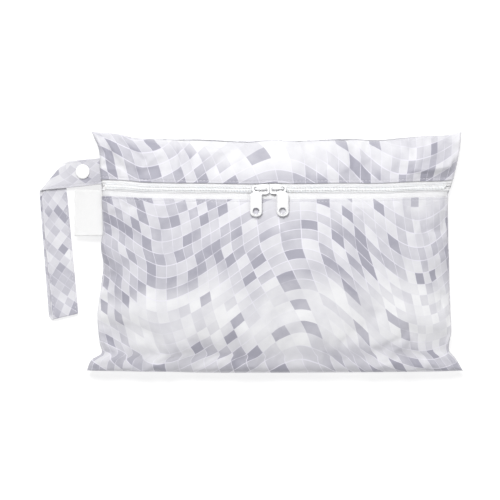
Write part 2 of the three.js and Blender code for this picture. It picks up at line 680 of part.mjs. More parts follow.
// Stations along one ply, with rows that turn parallel to the fold as they come to it.
function plyStations(ply) {
  const radius = ply === 0 ? 1.5 * STRAP_PITCH : 0.5 * STRAP_PITCH;
  const reach = STRAP_WIDTH / 2 + 1.5;
  const before = [-STRAP_TUCK, 0, 3, 6, 9, 14.6, 20, 23].filter((a) => a < STRAP_TO_FOLD - reach);
  const bend = [0, 0.25, 0.5, 0.75, 1].map((s) => STRAP_TO_FOLD + (s * Math.PI * radius) / FOLD_RATE);
  const last = bend[bend.length - 1];
  const slanted = [STRAP_TO_FOLD - reach, STRAP_TO_FOLD - reach / 2, ...bend, last + reach / 2];
  const start = last + reach;
  const after = Array.from({ length: 9 }, (_, k) => {
    const s = k / 8;
    return start + (STRAP_LENGTH - start) * s * (1.6 - 0.6 * s);
  });
  const slant = (a) => {
    const away = a < STRAP_TO_FOLD ? STRAP_TO_FOLD - a : Math.max(0, a - last);
    return FOLD_SLANT * clamp(1 - away / reach, 0, 1);
  };
  return [...before, ...slanted, ...after].map((a) => ({ a, slant: slant(a) }));
}

function strap() {
  const sides = [-0.5, 0, 0.5].map((share) => share * STRAP_WIDTH);
  const faces = { outer: [], inner: [] };
  const addRow = (station, ply) => {
    const place = (side) => sides.map((w) => strapPoint(station.a + w * station.slant, w, ply, side));
    faces.outer.push(place(ply === 0 ? 1 : -1));
    faces.inner.push(place(ply === 0 ? -1 : 1));
  };
  for (const station of plyStations(0)) addRow(station, 0);
  const lowEnd = sides.map((w) => strapPoint(STRAP_LENGTH, w, 0, 0));
  const highEnd = sides.map((w) => strapPoint(STRAP_LENGTH, w, 1, 0));
  for (const share of [0.25, 0.5, 0.75]) {
    const turn = share * Math.PI;
    const ring = (grow) => sides.map((w, k) => {
      const radius = (highEnd[k].z - lowEnd[k].z) / 2;
      const reach = (radius + grow) * Math.sin(turn);
      const z = lowEnd[k].z + radius - (radius + grow) * Math.cos(turn);
      return new THREE.Vector3(lowEnd[k].x + reach * HANGING.x, lowEnd[k].y + reach * HANGING.y, z);
    });
    faces.outer.push(ring(STRAP_THICKNESS / 2));
    faces.inner.push(ring(-STRAP_THICKNESS / 2));
  }
  for (const station of plyStations(1).reverse()) addRow(station, 1);
  return slab(faces.outer, faces.inner);
}

// The snap sits square to the sloping strap.
function snapGroup() {
  const at = strapPoint(SNAP_FROM_SEAM, SNAP_ABOVE_MIDDLE, 0, 1);
  const next = strapPoint(SNAP_FROM_SEAM - 1, SNAP_ABOVE_MIDDLE, 0, 1);
  const group = new THREE.Group();
  group.position.copy(at);
  const normal = next.sub(at).normalize().cross(new THREE.Vector3(ACROSS.x, ACROSS.y, 0)).normalize();
  group.quaternion.setFromUnitVectors(new THREE.Vector3(0, 0, 1), normal);
  return group;
}

function lathe(rows) {
  const profile = rows.map((row) => new THREE.Vector2(row.radius, row.height));
  return new THREE.LatheGeometry(profile, ROUND_STEPS).rotateX(Math.PI / 2);
}

function snapCap() {
  return lathe([
    { radius: 0, height: GAP },
    { radius: CAP_RADIUS - 0.3, height: GAP },
    { radius: CAP_RADIUS, height: GAP + CAP_EDGE },
    { radius: CAP_RADIUS * 0.9, height: GAP + CAP_THICKNESS * 0.75 },
    { radius: CAP_RADIUS * 0.62, height: GAP + CAP_THICKNESS },
    { radius: 0, height: GAP + CAP_THICKNESS },
  ]);
}

// Socket and stud between the plies, with a post through both and a cap under the lower one.
function snapClasp() {
  const between = -STRAP_THICKNESS - GAP;
  const lower = between - CLASP_THICKNESS - 2 * GAP - STRAP_THICKNESS;
  return lathe([
    { radius: 0, height: lower - CAP_THICKNESS },
    { radius: CAP_RADIUS - 1, height: lower - CAP_THICKNESS },
    { radius: CAP_RADIUS, height: lower - CAP_EDGE },
    { radius: CAP_RADIUS, height: lower },
    { radius: SNAP_POST_RADIUS, height: lower },
    { radius: SNAP_POST_RADIUS, height: between - CLASP_THICKNESS },
    { radius: CLASP_RADIUS, height: between - CLASP_THICKNESS },
    { radius: CLASP_RADIUS, height: between },
    { radius: SNAP_POST_RADIUS, height: between },
    { radius: SNAP_POST_RADIUS, height: 0 },
    { radius: 0, height: 0 },
  ]);
}

function pierced(ribbon, group) {
  const hole = disc(SNAP_HOLE_RADIUS, -10, 2, 16);
  group.updateMatrixWorld(true);
  return cut(ribbon, hole.applyMatrix4(group.matrixWorld));
}

// A flat label, sewn in the seam at one end, drooping a little at the other.
function label() {
  const v = sideShare(LABEL_FROM_BOTTOM);
  const root = plan(0, v, 0);
  const shares = [-LABEL_TUCK / LABEL_REACH, 0, 0.2, 0.4, 0.6, 0.8, 1];
  const layer = (side) => [-0.5, 0, 0.5].map((up) => shares.map((s) => {
    const z = seamHeight(0, v) - LABEL_DROOP * clamp(s, 0, 1) ** 2 + (side * LABEL_THICKNESS) / 2;
    return new THREE.Vector3(root.x - s * LABEL_REACH, root.y + up * LABEL_HEIGHT, z);
  }).reverse());
  return slab(layer(1), layer(-1));
}

const FABRIC = { color: PRINT, roughness: 0.75, metalness: 0 };
const LINER = { color: INSIDE, roughness: 0.6, metalness: 0 };
const WOVEN = { color: WHITE, roughness: 0.8, metalness: 0 };
const ENAMEL = { color: WHITE, roughness: 0.35, metalness: 0 };
const PLASTIC = { color: RESIN, roughness: 0.25, metalness: 0 };

function piece(name, geometry, look) {
  const mesh = new THREE.Mesh(geometry, new THREE.MeshStandardMaterial(look));
  mesh.name = name;
  return mesh;
}

const bag = new THREE.Group();
bag.add(piece('back_panel', backPanel(), FABRIC));
bag.add(piece('front_lower_panel', frontPanel(lowerRows), FABRIC));
bag.add(piece('front_upper_panel', frontPanel(upperRows), FABRIC));
bag.add(piece('zipper_tape_lower', tape(-1), WOVEN));
bag.add(piece('zipper_tape_upper', tape(1), WOVEN));
bag.add(piece('zipper_coil_left', chain(-1), WOVEN));
bag.add(piece('zipper_coil_right', chain(1), WOVEN));
for (const [word, side] of [['left', -1], ['right', 1]]) {
  const group = zipperGroup(side);
  const body = piece(`slider_${word}`, slider(), ENAMEL);
  body.rotation.z = side < 0 ? 0 : Math.PI;
  group.add(body);
  group.add(piece(`pull_${word}`, pull(), ENAMEL));
  bag.add(group);
}
const snap = snapGroup();
bag.add(piece('strap', pierced(strap(), snap), FABRIC));
snap.add(piece('snap_cap', snapCap(), PLASTIC));
snap.add(piece('snap_clasp', snapClasp(), PLASTIC));
bag.add(snap);
bag.add(piece('side_label', label(), LINER));

export default bag;
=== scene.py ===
"""A zipped pouch of printed, coated cloth lying on its back, with a folded strap and a side label."""
import math

import bmesh
import bpy
import numpy as np
from mathutils import Matrix, Vector


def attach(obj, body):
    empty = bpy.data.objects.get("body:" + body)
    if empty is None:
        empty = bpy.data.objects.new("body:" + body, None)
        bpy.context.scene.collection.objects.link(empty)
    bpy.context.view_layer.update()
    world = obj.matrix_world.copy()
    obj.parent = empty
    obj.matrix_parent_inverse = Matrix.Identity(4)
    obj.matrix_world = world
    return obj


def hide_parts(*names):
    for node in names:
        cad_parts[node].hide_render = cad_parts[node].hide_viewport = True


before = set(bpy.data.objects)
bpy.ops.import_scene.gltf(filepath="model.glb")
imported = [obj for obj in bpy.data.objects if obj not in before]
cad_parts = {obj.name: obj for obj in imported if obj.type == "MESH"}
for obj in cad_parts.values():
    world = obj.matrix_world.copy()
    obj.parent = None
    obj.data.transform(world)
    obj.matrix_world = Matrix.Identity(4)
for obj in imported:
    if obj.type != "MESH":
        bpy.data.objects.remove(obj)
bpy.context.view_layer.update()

bl_info = {
    "name": "Zipped cloth wet bag",
    "version": (1, 0, 0),
    "blender": (4, 5, 0),
    "location": "View3D > Sidebar > Wet bag",
    "description": "Builds the cloth, zipper, strap, snap and label of a zipped wet bag",
    "category": "Add Mesh",
}


def length_property(name, default, description):
    """A length in metres."""
    return bpy.props.FloatProperty(
        name=name, description=description, default=default, unit="LENGTH", precision=4
    )


def share_property(name, default, description):
    """A plain number, such as a share or a power."""
    return bpy.props.FloatProperty(name=name, description=description, default=default)


def angle_property(name, default, description):
    """An angle, with its default in degrees."""
    return bpy.props.FloatProperty(
        name=name, description=description, default=math.radians(default), subtype="ANGLE"
    )


def colour_property(name, default, description):
    """A linear colour."""
    return bpy.props.FloatVectorProperty(
        name=name, description=description, default=default, subtype="COLOR",
        size=3, min=0, max=1
    )


class PouchSizes(bpy.types.PropertyGroup):
    """Sizes of the pouch's cloth."""

    width: length_property("Width", 0.2975, "Across the pouch between its drawn-in sides")
    height: length_property("Height", 0.1972, "From the bottom seam to the drawn-in top seam")
    side_pull: length_property("Side pull", 0.012, "How far the ears reach past the sides")
    top_pull: length_property("Top pull", 0.0068, "How far the top ears reach past the top")
    cloth: length_property("Cloth and turned hem", 0.0012, "Depth of the cloth with its hem")
    ply: length_property("One ply", 0.00055, "Thickness of one ply of the coated cloth")
    hem: length_property("Hem", 0.0062, "Width of the hem turned under beside the zipper")
    edge_turn: length_property("Edge turn", 0.0022, "Where the wall turns over at the seam")
    seam_gap: length_property("Seam gap", 0.0003, "Between front and back along the seam")
    seam_height: length_property("Seam height", 0.011, "Height of the side seams")
    ear_drop: length_property("Ear drop", 0.0035, "How far the ears hang below the seam")
    front_depth: length_property("Front depth", 0.0215, "Rise of the front over the seam")
    back_depth: length_property("Back depth", 0.015, "Drop of the back below the seam")
    fold_height: length_property("Fold height", 0.003, "Height of a full fold of the front")
    fold_width: length_property("Fold width", 0.01, "Half width of a fold of the front")
    groove_depth: length_property("Groove depth", 0.001, "How far the zipper sinks in")
    groove_width: length_property("Groove width", 0.015, "Half width of the zipper's groove")
    pucker: length_property("Pucker", 0.0006, "Height of the small gathers along the seams")
    roll: length_property("Roll", 0.003, "How far the cloth rolls over above the bottom seam")
    overhang: length_property("Overhang", 0.0012, "How far that roll reaches past the seam")
    slack: length_property("Slack", 0.00055, "Height of the soft waves of the loose cloth")
    buckle: length_property("Buckle", 0.003, "Most that the simulation may move the cloth")
    width_power: share_property("Width power", 2.7, "The larger, the flatter across")
    front_power: share_property("Front power", 2.3, "The larger, the flatter up the front")
    back_power: share_property("Back power", 2.6, "The larger, the flatter up the back")
    ear_crowding: share_property("Ear crowding", 4, "How closely the rows follow the top")


class ZipperSizes(bpy.types.PropertyGroup):
    """Sizes of the zipper."""

    from_bottom: length_property("From bottom", 0.1547, "Chain above the bottom seam")
    chain_width: length_property("Chain width", 0.0054, "Across the closed chain")
    chain_thickness: length_property("Chain thickness", 0.0018, "Through the closed chain")
    coil_pitch: length_property("Coil pitch", 0.0013, "From one turn of a coil to the next")
    coil_wire: length_property("Coil wire", 0.00094, "Diameter of the coil's filament")
    upper_edge: length_property("Upper edge", 0.0051, "Chain to the upper panel's edge")
    lower_edge: length_property("Lower edge", 0.0082, "Chain to the lower panel's edge")
    tape_width: length_property("Tape width", 0.014, "Chain to the outer edge of a tape")
    tape_thickness: length_property("Tape thickness", 0.0007, "Through a tape")
    sewn_edge: length_property("Sewn edge", 0.0008, "How far the tape is drawn up beside the coil")
    tape_split: length_property("Tape split", 0.0004, "Between the tapes under the chain")
    gap: length_property("Gap", 0.0003, "Clearance between neighbouring pieces")
    meeting_x: length_property("Meeting point", -0.0051, "Where the sliders meet nose to nose")
    stitch_inset: length_property("Stitch inset", 0.0021, "Panel edge to its stitch line")
    stitch_pitch: length_property("Stitch pitch", 0.0031, "From one stitch to the next")
    thread: length_property("Thread", 0.00042, "Diameter of the sewing thread")


class SliderSizes(bpy.types.PropertyGroup):
    """Sizes of the two sliders and their pulls."""

    length: length_property("Length", 0.0124, "Tail to nose")
    post_from_tail: length_property("Post from tail", 0.0014, "Tail to the bridge's post")
    plate: length_property("Plate", 0.0009, "Thickness of each plate")
    flange: length_property("Flange", 0.0007, "Thickness of the flanges")
    nose_width: length_property("Nose width", 0.0088, "Across the nose")
    wedge_width: length_property("Wedge width", 0.0024, "Across the wedge")
    wedge_length: length_property("Wedge length", 0.0034, "Along the wedge")
    bridge_width: length_property("Bridge width", 0.0018, "Across the bridge")
    bridge_clearance: length_property("Bridge clearance", 0.0006, "Pull to bridge")
    bridge_thickness: length_property("Bridge thickness", 0.0011, "Through the bridge")
    bridge_reach: length_property("Bridge reach", 0.0094, "Post to the bridge's far foot")
    post_length: length_property("Post length", 0.002, "Along each foot of the bridge")
    clearance: length_property("Clearance", 0.00045, "Slider to tape")
    pull_reach: length_property("Pull reach", 0.0237, "Post to the pull's tip")
    pull_width: length_property("Pull width", 0.0104, "Across the pull")
    pull_thickness: length_property("Pull thickness", 0.0012, "Through the pull's web")
    rim_width: length_property("Rim width", 0.0011, "Across the raised rim")
    ring_radius: length_property("Ring radius", 0.0033, "Outside of the ring round the post")
    ring_clearance: length_property("Ring clearance", 0.0004, "Ring to post")
    neck_width: length_property("Neck width", 0.005, "Across the pull's neck")
    shoulder: length_property("Shoulder", 0.0052, "Post to the pull's shoulder")
    hole_radius: length_property("Hole radius", 0.0027, "Radius of the hole near the tip")
    hole_from_tip: length_property("Hole from tip", 0.0049, "Tip to the middle of the hole")


class StrapSizes(bpy.types.PropertyGroup):
    """Sizes of the strap and its snap."""

    width: length_property("Width", 0.0224, "Across the strap")
    thickness: length_property("Thickness", 0.0011, "Through one ply of the strap")
    gap: length_property("Ply gap", 0.0003, "Between the plies")
    from_bottom: length_property("From bottom", 0.1698, "Where it is sewn in the left seam")
    to_fold: length_property("To fold", 0.0378, "Seam to the fold across the strap")
    length: length_property("Length", 0.159, "Seam to the far loop")
    fall: angle_property("Fall", 5.3, "Slope down to the left of the strap's first part")
    hang: angle_property("Hang", 4.4, "Lean of the strap's hanging part")
    tuck: length_property("Tuck", 0.006, "Length held in the seam")
    slope_length: length_property("Slope length", 0.028, "From the seam down to the floor")
    floor_gap: length_property("Floor gap", 0.0001, "Strap to the floor")
    loop_rise: length_property("Loop rise", 0.0018, "Rise of the far loop")
    loop_length: length_property("Loop length", 0.009, "Length of the far loop")
    end_slant: share_property("End slant", 0.16, "Slant of the far loop across the strap")
    ply_slide: length_property("Ply slide", 0.0022, "How far the upper ply lies over to the left")
    stitch_inset: length_property("Stitch inset", 0.0019, "Edge to its stitch line")
    snap_from_seam: length_property("Snap from seam", 0.0146, "Seam to the snap")
    snap_above: length_property("Snap above middle", 0.0011, "Snap off the strap's middle")
    cap_radius: length_property("Cap radius", 0.0062, "Radius of the snap's caps")
    cap_thickness: length_property("Cap thickness", 0.0017, "Height of a cap")
    clasp_radius: length_property("Clasp radius", 0.0051, "Radius of the socket and stud")
    clasp_thickness: length_property("Clasp thickness", 0.0023, "Closed socket and stud")
    post_radius: length_property("Post radius", 0.0012, "Radius of the snap's post")


class LabelSizes(bpy.types.PropertyGroup):
    """Sizes of the bare side label."""

    reach: length_property("Reach", 0.0235, "From the seam to the label's fold")
    height: length_property("Height", 0.0395, "Up the seam")
    thickness: length_property("Thickness", 0.0009, "Through both plies")
    ply: length_property("One ply", 0.00036, "Thickness of the woven satin")
    from_bottom: length_property("From bottom", 0.1345, "Middle above the bottom seam")
    droop: length_property("Droop", 0.0035, "How far the fold hangs below the seam")
    tuck: length_property("Tuck", 0.005, "Length held in the seam")


class ClothLook(bpy.types.PropertyGroup):
    """Colours and scale of the finishes."""

    tile_width: length_property("Tile width", 0.0138, "Width of a tile of the print")
    tile_height: length_property("Tile height", 0.0088, "Height of a tile of the print")
    tile_dark: colour_property("Darkest tile", (0.345, 0.34, 0.4), "Darkest tiles of the print")
    tile_mid: colour_property("Middle tile", (0.5, 0.494, 0.545), "Most tiles of the print")
    tile_light: colour_property("Light tile", (0.615, 0.61, 0.65), "Light tiles of the print")
    tile_pale: colour_property("Palest tile", (0.8, 0.8, 0.812), "Palest tiles of the print")
    grout: colour_property("Line", (0.75, 0.735, 0.81), "Lines between the tiles")
    laminate: colour_property("Laminate", (0.74, 0.74, 0.77), "Coated inner face of the cloth")
    tape: colour_property("Tape", (0.88, 0.88, 0.89), "Woven zipper tape")
    coil: colour_property("Coil", (0.92, 0.92, 0.925), "Nylon coil")
    enamel: colour_property("Enamel", (0.74, 0.74, 0.752), "Painted sliders and pulls")
    resin: colour_property("Resin", (0.86, 0.86, 0.865), "Snap")
    satin: colour_property("Satin", (0.95, 0.95, 0.95), "Woven label")
    thread: colour_property("Thread", (0.72, 0.715, 0.76), "Sewing thread")


class StageSetup(bpy.types.PropertyGroup):
    """Camera, floor and light."""

    view_x: length_property("View middle X", -0.02125, "Middle of the picture across")
    view_y: length_property("View middle Y", 0.00425, "Middle of the picture up")
    view_width: length_property("View width", 0.425, "Width that the picture takes in")
    camera_height: length_property("Camera height", 1.6, "Camera above the pouch's seam")
    floor_size: length_property("Floor size", 4.0, "Side of the floor")
    floor: colour_property("Floor", (0.5, 0.5, 0.5), "Pale floor, before its own glow")
    sky_strength: share_property("Sky strength", 0.5, "Strength of the even light")
    floor_glow: share_property("Floor glow", 0.62, "Light that the floor table gives off")
    key_power: share_property("Key power", 16.5, "Watts of the soft light beyond the top")


# The outline is the ear-to-ear frame with each side drawn in: (share along the side, share of pull).
LEFT_EDGE = (
    (0, 0), (0.05, 0.35), (0.075, 1.05), (0.12, 0.9), (0.24, 0.75), (0.35, 0.95), (0.46, 1.17),
    (0.53, 1), (0.6, 1.13), (0.75, 1.08), (0.85, 0.98), (0.93, 0.9), (1, 0.35),
)
RIGHT_EDGE = (
    (0, 0), (0.06, 0.6), (0.09, 1.02), (0.17, 0.85), (0.3, 0.95), (0.45, 1.02), (0.6, 1.12),
    (0.75, 1.06), (0.79, 0.8), (0.84, 0.6), (0.92, 0.28), (1, 0.1),
)
TOP_EDGE = (
    (0, 0), (0.07, 0.3), (0.12, 0.8), (0.22, 1.05), (0.3, 1.08), (0.42, 1.3), (0.48, 1.08),
    (0.55, 1.2), (0.7, 1), (0.77, 1.12), (0.84, 0.85), (0.9, 0.58), (0.97, 0.4), (1, 0),
)
BOTTOM_EDGE = ((0, 0), (0.3, -0.1), (0.7, -0.1), (1, 0))

# Folds and dents of the front: shares u, v of each end, share of the fold height and width.
FRONT_FOLDS = (
    ("ear top left", 0.01, 0.99, 0.12, 0.88, 0.9, 0.8),
    ("ear top right", 0.99, 0.99, 0.88, 0.89, 0.8, 0.9),
    ("ear bottom left", 0.01, 0.01, 0.13, 0.13, 0.9, 0.8),
    ("ear bottom right", 0.99, 0.01, 0.88, 0.12, 0.8, 0.8),
    ("crease at zip end", 0.98, 0.88, 0.86, 0.83, 1, 0.6),
    ("dent above zip end", 0.99, 0.83, 0.9, 0.82, -0.6, 0.8),
    ("dent left side high", 0, 0.6, 0.1, 0.58, -0.7, 1),
    ("dent left side low", 0, 0.42, 0.12, 0.46, -0.7, 1.1),
    ("ridge left side", 0, 0.24, 0.12, 0.27, 0.6, 1),
    ("dent right side", 1, 0.62, 0.9, 0.6, -0.6, 1.1),
    ("ridge right side", 1, 0.17, 0.9, 0.22, 0.6, 1),
    ("dent top left", 0.25, 1, 0.27, 0.9, -0.5, 1.2),
    ("dent top middle", 0.42, 1, 0.41, 0.91, -0.6, 1),
    ("dent top right", 0.77, 1, 0.75, 0.9, -0.5, 1.1),
    ("crease bottom left", 0.26, 0, 0.3, 0.09, -0.6, 0.9),
    ("crease bottom right", 0.66, 0, 0.64, 0.09, -0.5, 1),
)

# Smaller folds that only the cloth has, in the same columns.
FINE_FOLDS = (
    ("bottom crease one", 0.27, 0.0, 0.33, 0.06, -0.4, 0.24),
    ("bottom crease two", 0.325, 0.0, 0.36, 0.05, 0.36, 0.2),
    ("bottom crease three", 0.37, 0.0, 0.405, 0.055, -0.36, 0.22),
    ("bottom crease four", 0.45, 0.0, 0.43, 0.05, 0.3, 0.24),
    ("bottom left ear crease", 0.03, 0.035, 0.085, 0.02, -0.4, 0.26),
    ("bottom left ear ridge", 0.012, 0.02, 0.07, 0.1, 0.35, 0.3),
    ("bottom right ear crease", 0.975, 0.03, 0.9, 0.075, -0.35, 0.3),
    ("top left ear tube", 0.005, 0.985, 0.075, 0.885, 0.7, 0.36),
    ("top left ear hollow", 0.05, 0.99, 0.125, 0.9, -0.6, 0.34),
    ("top right ear hollow", 0.985, 0.93, 0.9, 0.885, -0.35, 0.35),
    ("zip end crease", 0.975, 0.868, 0.87, 0.85, 0.55, 0.3),
    ("zip end notch", 0.985, 0.822, 0.965, 0.818, -0.8, 0.2),
    ("top hem dip one", 0.36, 1.0, 0.365, 0.94, -0.25, 0.5),
    ("top hem dip two", 0.58, 1.0, 0.575, 0.94, -0.25, 0.5),
    ("left edge pleat one", 0.0, 0.53, 0.055, 0.535, -0.25, 0.4),
    ("left edge pleat two", 0.0, 0.33, 0.05, 0.345, 0.25, 0.4),
    ("right edge pleat", 1.0, 0.4, 0.945, 0.41, -0.25, 0.4),
    ("slack across the middle", 0.3, 0.46, 0.62, 0.52, 0.16, 2.2),
    ("slack low left", 0.14, 0.3, 0.34, 0.2, 0.14, 1.6),
    ("slack high right", 0.64, 0.62, 0.84, 0.5, 0.16, 1.6),
)

# What the cloth simulation moved: columns, rows and shift of the front and of the back.
SETTLED = {}

PART_SHOULDER = 0.012
RELIEF_ONSET = 2.5
# Small forms of the cloth, in metres. Waves are lengths along the edge or the cloth.
SEAM_PUCKER_WAVES = (0.0105, 0.0112, 0.0098, 0.0124)
PUCKER_REACH = 0.008
PUCKER_ONSET = 0.0025
ZIP_PUCKER_MIDDLE = 0.004
ZIP_PUCKER_REACH = 0.0045
ZIP_PUCKER_WAVE = 0.0115
ROLL_MIDDLE = 0.004
ROLL_REACH = 0.0065
ROLL_ONSET = 0.0013
ROLL_WAVE = 0.047
# Each slack wave is its direction in radians and its length.
SLACK_WAVES = ((0.3, 0.071), (1.2, 0.058), (2.1, 0.046), (2.8, 0.033))
SEWN_RIDGE_OFFSET = 0.0003
SEWN_RIDGE_REACH = 0.0006
BRIDGE_ROUND = 0.0011
LABEL_BORDER_RISE = 0.00008
LABEL_BORDER_WIDTH = 0.0019
LABEL_BORDER_FADE = 0.0005
LABEL_CURL = 0.0007
LABEL_TWIST = 0.0003


def smooth(x):
    """Eases from 0 to 1."""
    x = np.clip(x, 0, 1)
    return x * x * (3 - 2 * x)


def follow(rows, along):
    """A smooth curve through the rows of a table."""
    at = np.array([row[0] for row in rows], dtype=float)
    pull = np.array([row[1] for row in rows], dtype=float)
    index = np.arange(len(rows))
    low = np.maximum(index - 1, 0)
    high = np.minimum(index + 1, len(rows) - 1)
    slope = (pull[high] - pull[low]) / (at[high] - at[low])
    k = np.clip(np.searchsorted(at[1:], along, side="left"), 0, len(rows) - 2)
    span = at[k + 1] - at[k]
    s = (along - at[k]) / span
    start = pull[k] * (1 + 2 * s) * (1 - s) ** 2 + slope[k] * span * s * (1 - s) ** 2
    end = pull[k + 1] * (3 - 2 * s) * s**2 + slope[k + 1] * span * (s - 1) * s**2
    return start + end


def ripples(along, wave, seed):
    """Uneven waves along a line, from about -1 to 1."""
    total = 0
    for k, share in enumerate((1.0, 0.6, 0.5)):
        phase = 2.4 * seed + 1.7 * k
        drift = 1.1 * np.sin(along * 2 * math.pi / (4.3 * wave) + phase)
        total = total + share * np.sin(along * 2 * math.pi / (wave * (1 + 0.37 * k)) + phase + drift)
    return total / 1.6


def inset_at(share, inset):
    """Inset of a share of the way across: whole at each edge, none within."""
    return inset * ((1 - share) ** 8 - share**8)


def bulge(share, power):
    """How full the pouch is at a share of the way across."""
    return np.sqrt(np.maximum(0, 1 - np.abs(2 * share - 1) ** power))


class PouchForm:
    """The surface of the pouch, as the sizes give it. u and v are shares of its width and height."""

    def __init__(self, scene):
        self.pouch = scene.wet_bag_pouch
        self.zipper = scene.wet_bag_zipper
        self.slider = scene.wet_bag_slider
        strap = scene.wet_bag_strap
        label = scene.wet_bag_label
        gap = self.zipper.gap
        self.partings = (
            (strap.from_bottom, strap.width / 2 + 0.005, 2 * strap.thickness + strap.gap + 4 * gap),
            (label.from_bottom, label.height / 2 + 0.002, label.thickness + 2 * gap),
        )
        self.zip_v = self.beside_zip(0)

    def plan(self, u, v, inset=0.0):
        """Plan of the pouch, moved inward by inset at the edges."""
        p = self.pouch
        half_width = p.width / 2 + p.side_pull
        left = -half_width + p.side_pull * follow(LEFT_EDGE, v)
        right = half_width - p.side_pull * follow(RIGHT_EDGE, v)
        low = -p.height / 2 + p.top_pull * follow(BOTTOM_EDGE, u)
        high = p.height / 2 + p.top_pull - p.top_pull * follow(TOP_EDGE, u)
        spare = high - low - p.height
        x = left + (right - left) * u + inset_at(u, inset)
        y = low + p.height * v + spare * v**p.ear_crowding + inset_at(v, inset)
        return x, y

    def beside_zip(self, distance):
        """Share of the height at a distance above the zipper's middle line."""
        return (self.zipper.from_bottom + distance) / self.pouch.height

    def front_fullness(self, u, v):
        """Fullness of the front."""
        return bulge(u, self.pouch.width_power) * bulge(v, self.pouch.front_power)

    def back_fullness(self, u, v):
        """Fullness of the back."""
        return bulge(u, self.pouch.width_power) * bulge(v, self.pouch.back_power)

    def seam_height(self, u, v):
        """Height of the seam: level along the sides, lower at the four ears."""
        ear = np.abs(2 * u - 1) ** 8 * np.abs(2 * v - 1) ** 10
        return self.pouch.seam_height - self.pouch.ear_drop * ear

    def up_side(self, v):
        """Distance up a side seam from the bottom."""
        return self.pouch.height * v + self.pouch.top_pull * v**self.pouch.ear_crowding

    def side_share(self, distance):
        """Share of the height at a distance up a side seam."""
        v = distance / self.pouch.height
        for _ in range(6):
            v += (distance - self.up_side(v)) / self.pouch.height
        return v

    def seam_gap(self, u, v):
        """Gap between front and back, parted round the strap and the label."""
        near = 1 - smooth(u * self.pouch.width / PART_SHOULDER)
        opening = self.pouch.seam_gap + 0 * (u + v)
        for middle, half, stack in self.partings:
            away = np.abs(self.up_side(v) - middle) - half
            opening = np.maximum(opening, stack * near * (1 - smooth(away / PART_SHOULDER)))
        return opening

    def fold(self, row, u, v):
        """Height of one fold or dent."""
        _, u0, v0, u1, v1, height, width = row
        p = self.pouch
        along_x = (u1 - u0) * p.width
        along_y = (v1 - v0) * p.height
        from_x = (u - u0) * p.width
        from_y = (v - v0) * p.height
        length = math.hypot(along_x, along_y)
        share = np.clip((from_x * along_x + from_y * along_y) / length**2, 0, 1)
        away = np.hypot(from_x - along_x * share, from_y - along_y * share)
        fade = 1 - 0.5 * share
        return height * p.fold_height * fade * np.exp(-((away / (width * p.fold_width)) ** 2))

    def relief(self, u, v):
        """Folds of the front and the zipper's groove."""
        p = self.pouch
        from_zip = (v - self.zip_v) * p.height
        groove = p.groove_depth * np.exp(-((from_zip / p.groove_width) ** 2))
        folds = sum(self.fold(row, u, v) for row in FRONT_FOLDS)
        return (folds - groove) * smooth(RELIEF_ONSET * self.front_fullness(u, v))

    def wall_share(self, u, v):
        """Share of the wall's thickness that counts as height: none at the seam."""
        across = np.minimum(u, 1 - u) * self.pouch.width
        up = np.minimum(v, 1 - v) * self.pouch.height
        return np.clip(np.minimum(across, up) / self.pouch.edge_turn, 0, 1)

    def seam_under(self, u, v, inset):
        """Height of the seam under a point that is moved inward by inset."""
        across = np.clip(u + inset_at(u, inset) / self.pouch.width, 0, 1)
        up = np.clip(v + inset_at(v, inset) / self.pouch.height, 0, 1)
        return self.seam_height(across, up)

    def front(self, u, v, depth=0.0):
        """Points of the front at a depth below its outer face."""
        p = self.pouch
        inset = np.maximum(0, depth)
        x, y = self.plan(u, v, inset)
        rise = p.front_depth * self.front_fullness(u, v) + (p.cloth - depth) * self.wall_share(u, v)
        z = self.seam_under(u, v, inset) + self.seam_gap(u, v) / 2 + rise + self.relief(u, v)
        return np.stack([x, y, z], axis=-1)

    def back(self, u, v, depth=0.0):
        """Points of the back at a depth inside its outer face, which the floor presses flat."""
        p = self.pouch
        x, y = self.plan(u, v, depth)
        seam = self.seam_under(u, v, depth) - self.seam_gap(u, v) / 2
        drop = np.minimum(p.back_depth * self.back_fullness(u, v), seam - p.cloth)
        return np.stack([x, y, seam - drop - (p.cloth - depth) * self.wall_share(u, v)], axis=-1)

    def near_sliders(self, u, v):
        """1 under the sliders and their pulls, where the cloth has to stay put, 0 away from them."""
        x = self.plan(u, v)[0]
        reach = self.slider.length + self.slider.pull_width
        across = np.abs(x - self.zipper.meeting_x) / reach
        from_zip = (v - self.zip_v) * self.pouch.height
        along = np.abs(from_zip) / self.slider.pull_reach
        return (1 - smooth(across - 0.9)) * (1 - smooth((along - 1.1) / 0.5))

    def gathers(self, u, v):
        """Small puckers that run in from the seams and from the zipper's stitches."""
        p = self.pouch
        x, y = self.plan(u, v)
        total = 0
        edges = (
            (u * p.width, y, SEAM_PUCKER_WAVES[0], 1), ((1 - u) * p.width, y, SEAM_PUCKER_WAVES[1], 2),
            (v * p.height, x, SEAM_PUCKER_WAVES[2], 3), ((1 - v) * p.height, x, SEAM_PUCKER_WAVES[3], 4),
        )
        for away, along, wave, seed in edges:
            reach = PUCKER_REACH * (1 + 0.35 * ripples(along, 5 * wave, seed + 5))
            onset = smooth(away / PUCKER_ONSET)
            total = total + p.pucker * ripples(along, wave, seed) * onset * np.exp(-away / reach)
        from_zip = (v - self.zip_v) * p.height
        for edge, seed in ((self.zipper.upper_edge, 7), (-self.zipper.lower_edge, 8)):
            beyond = (from_zip - edge) * math.copysign(1, edge)
            near = np.exp(-((np.abs(beyond - ZIP_PUCKER_MIDDLE) / ZIP_PUCKER_REACH) ** 2)) * (beyond > 0)
            total = total + 0.45 * p.pucker * (0.6 + ripples(x, ZIP_PUCKER_WAVE, seed)) * near
        return total

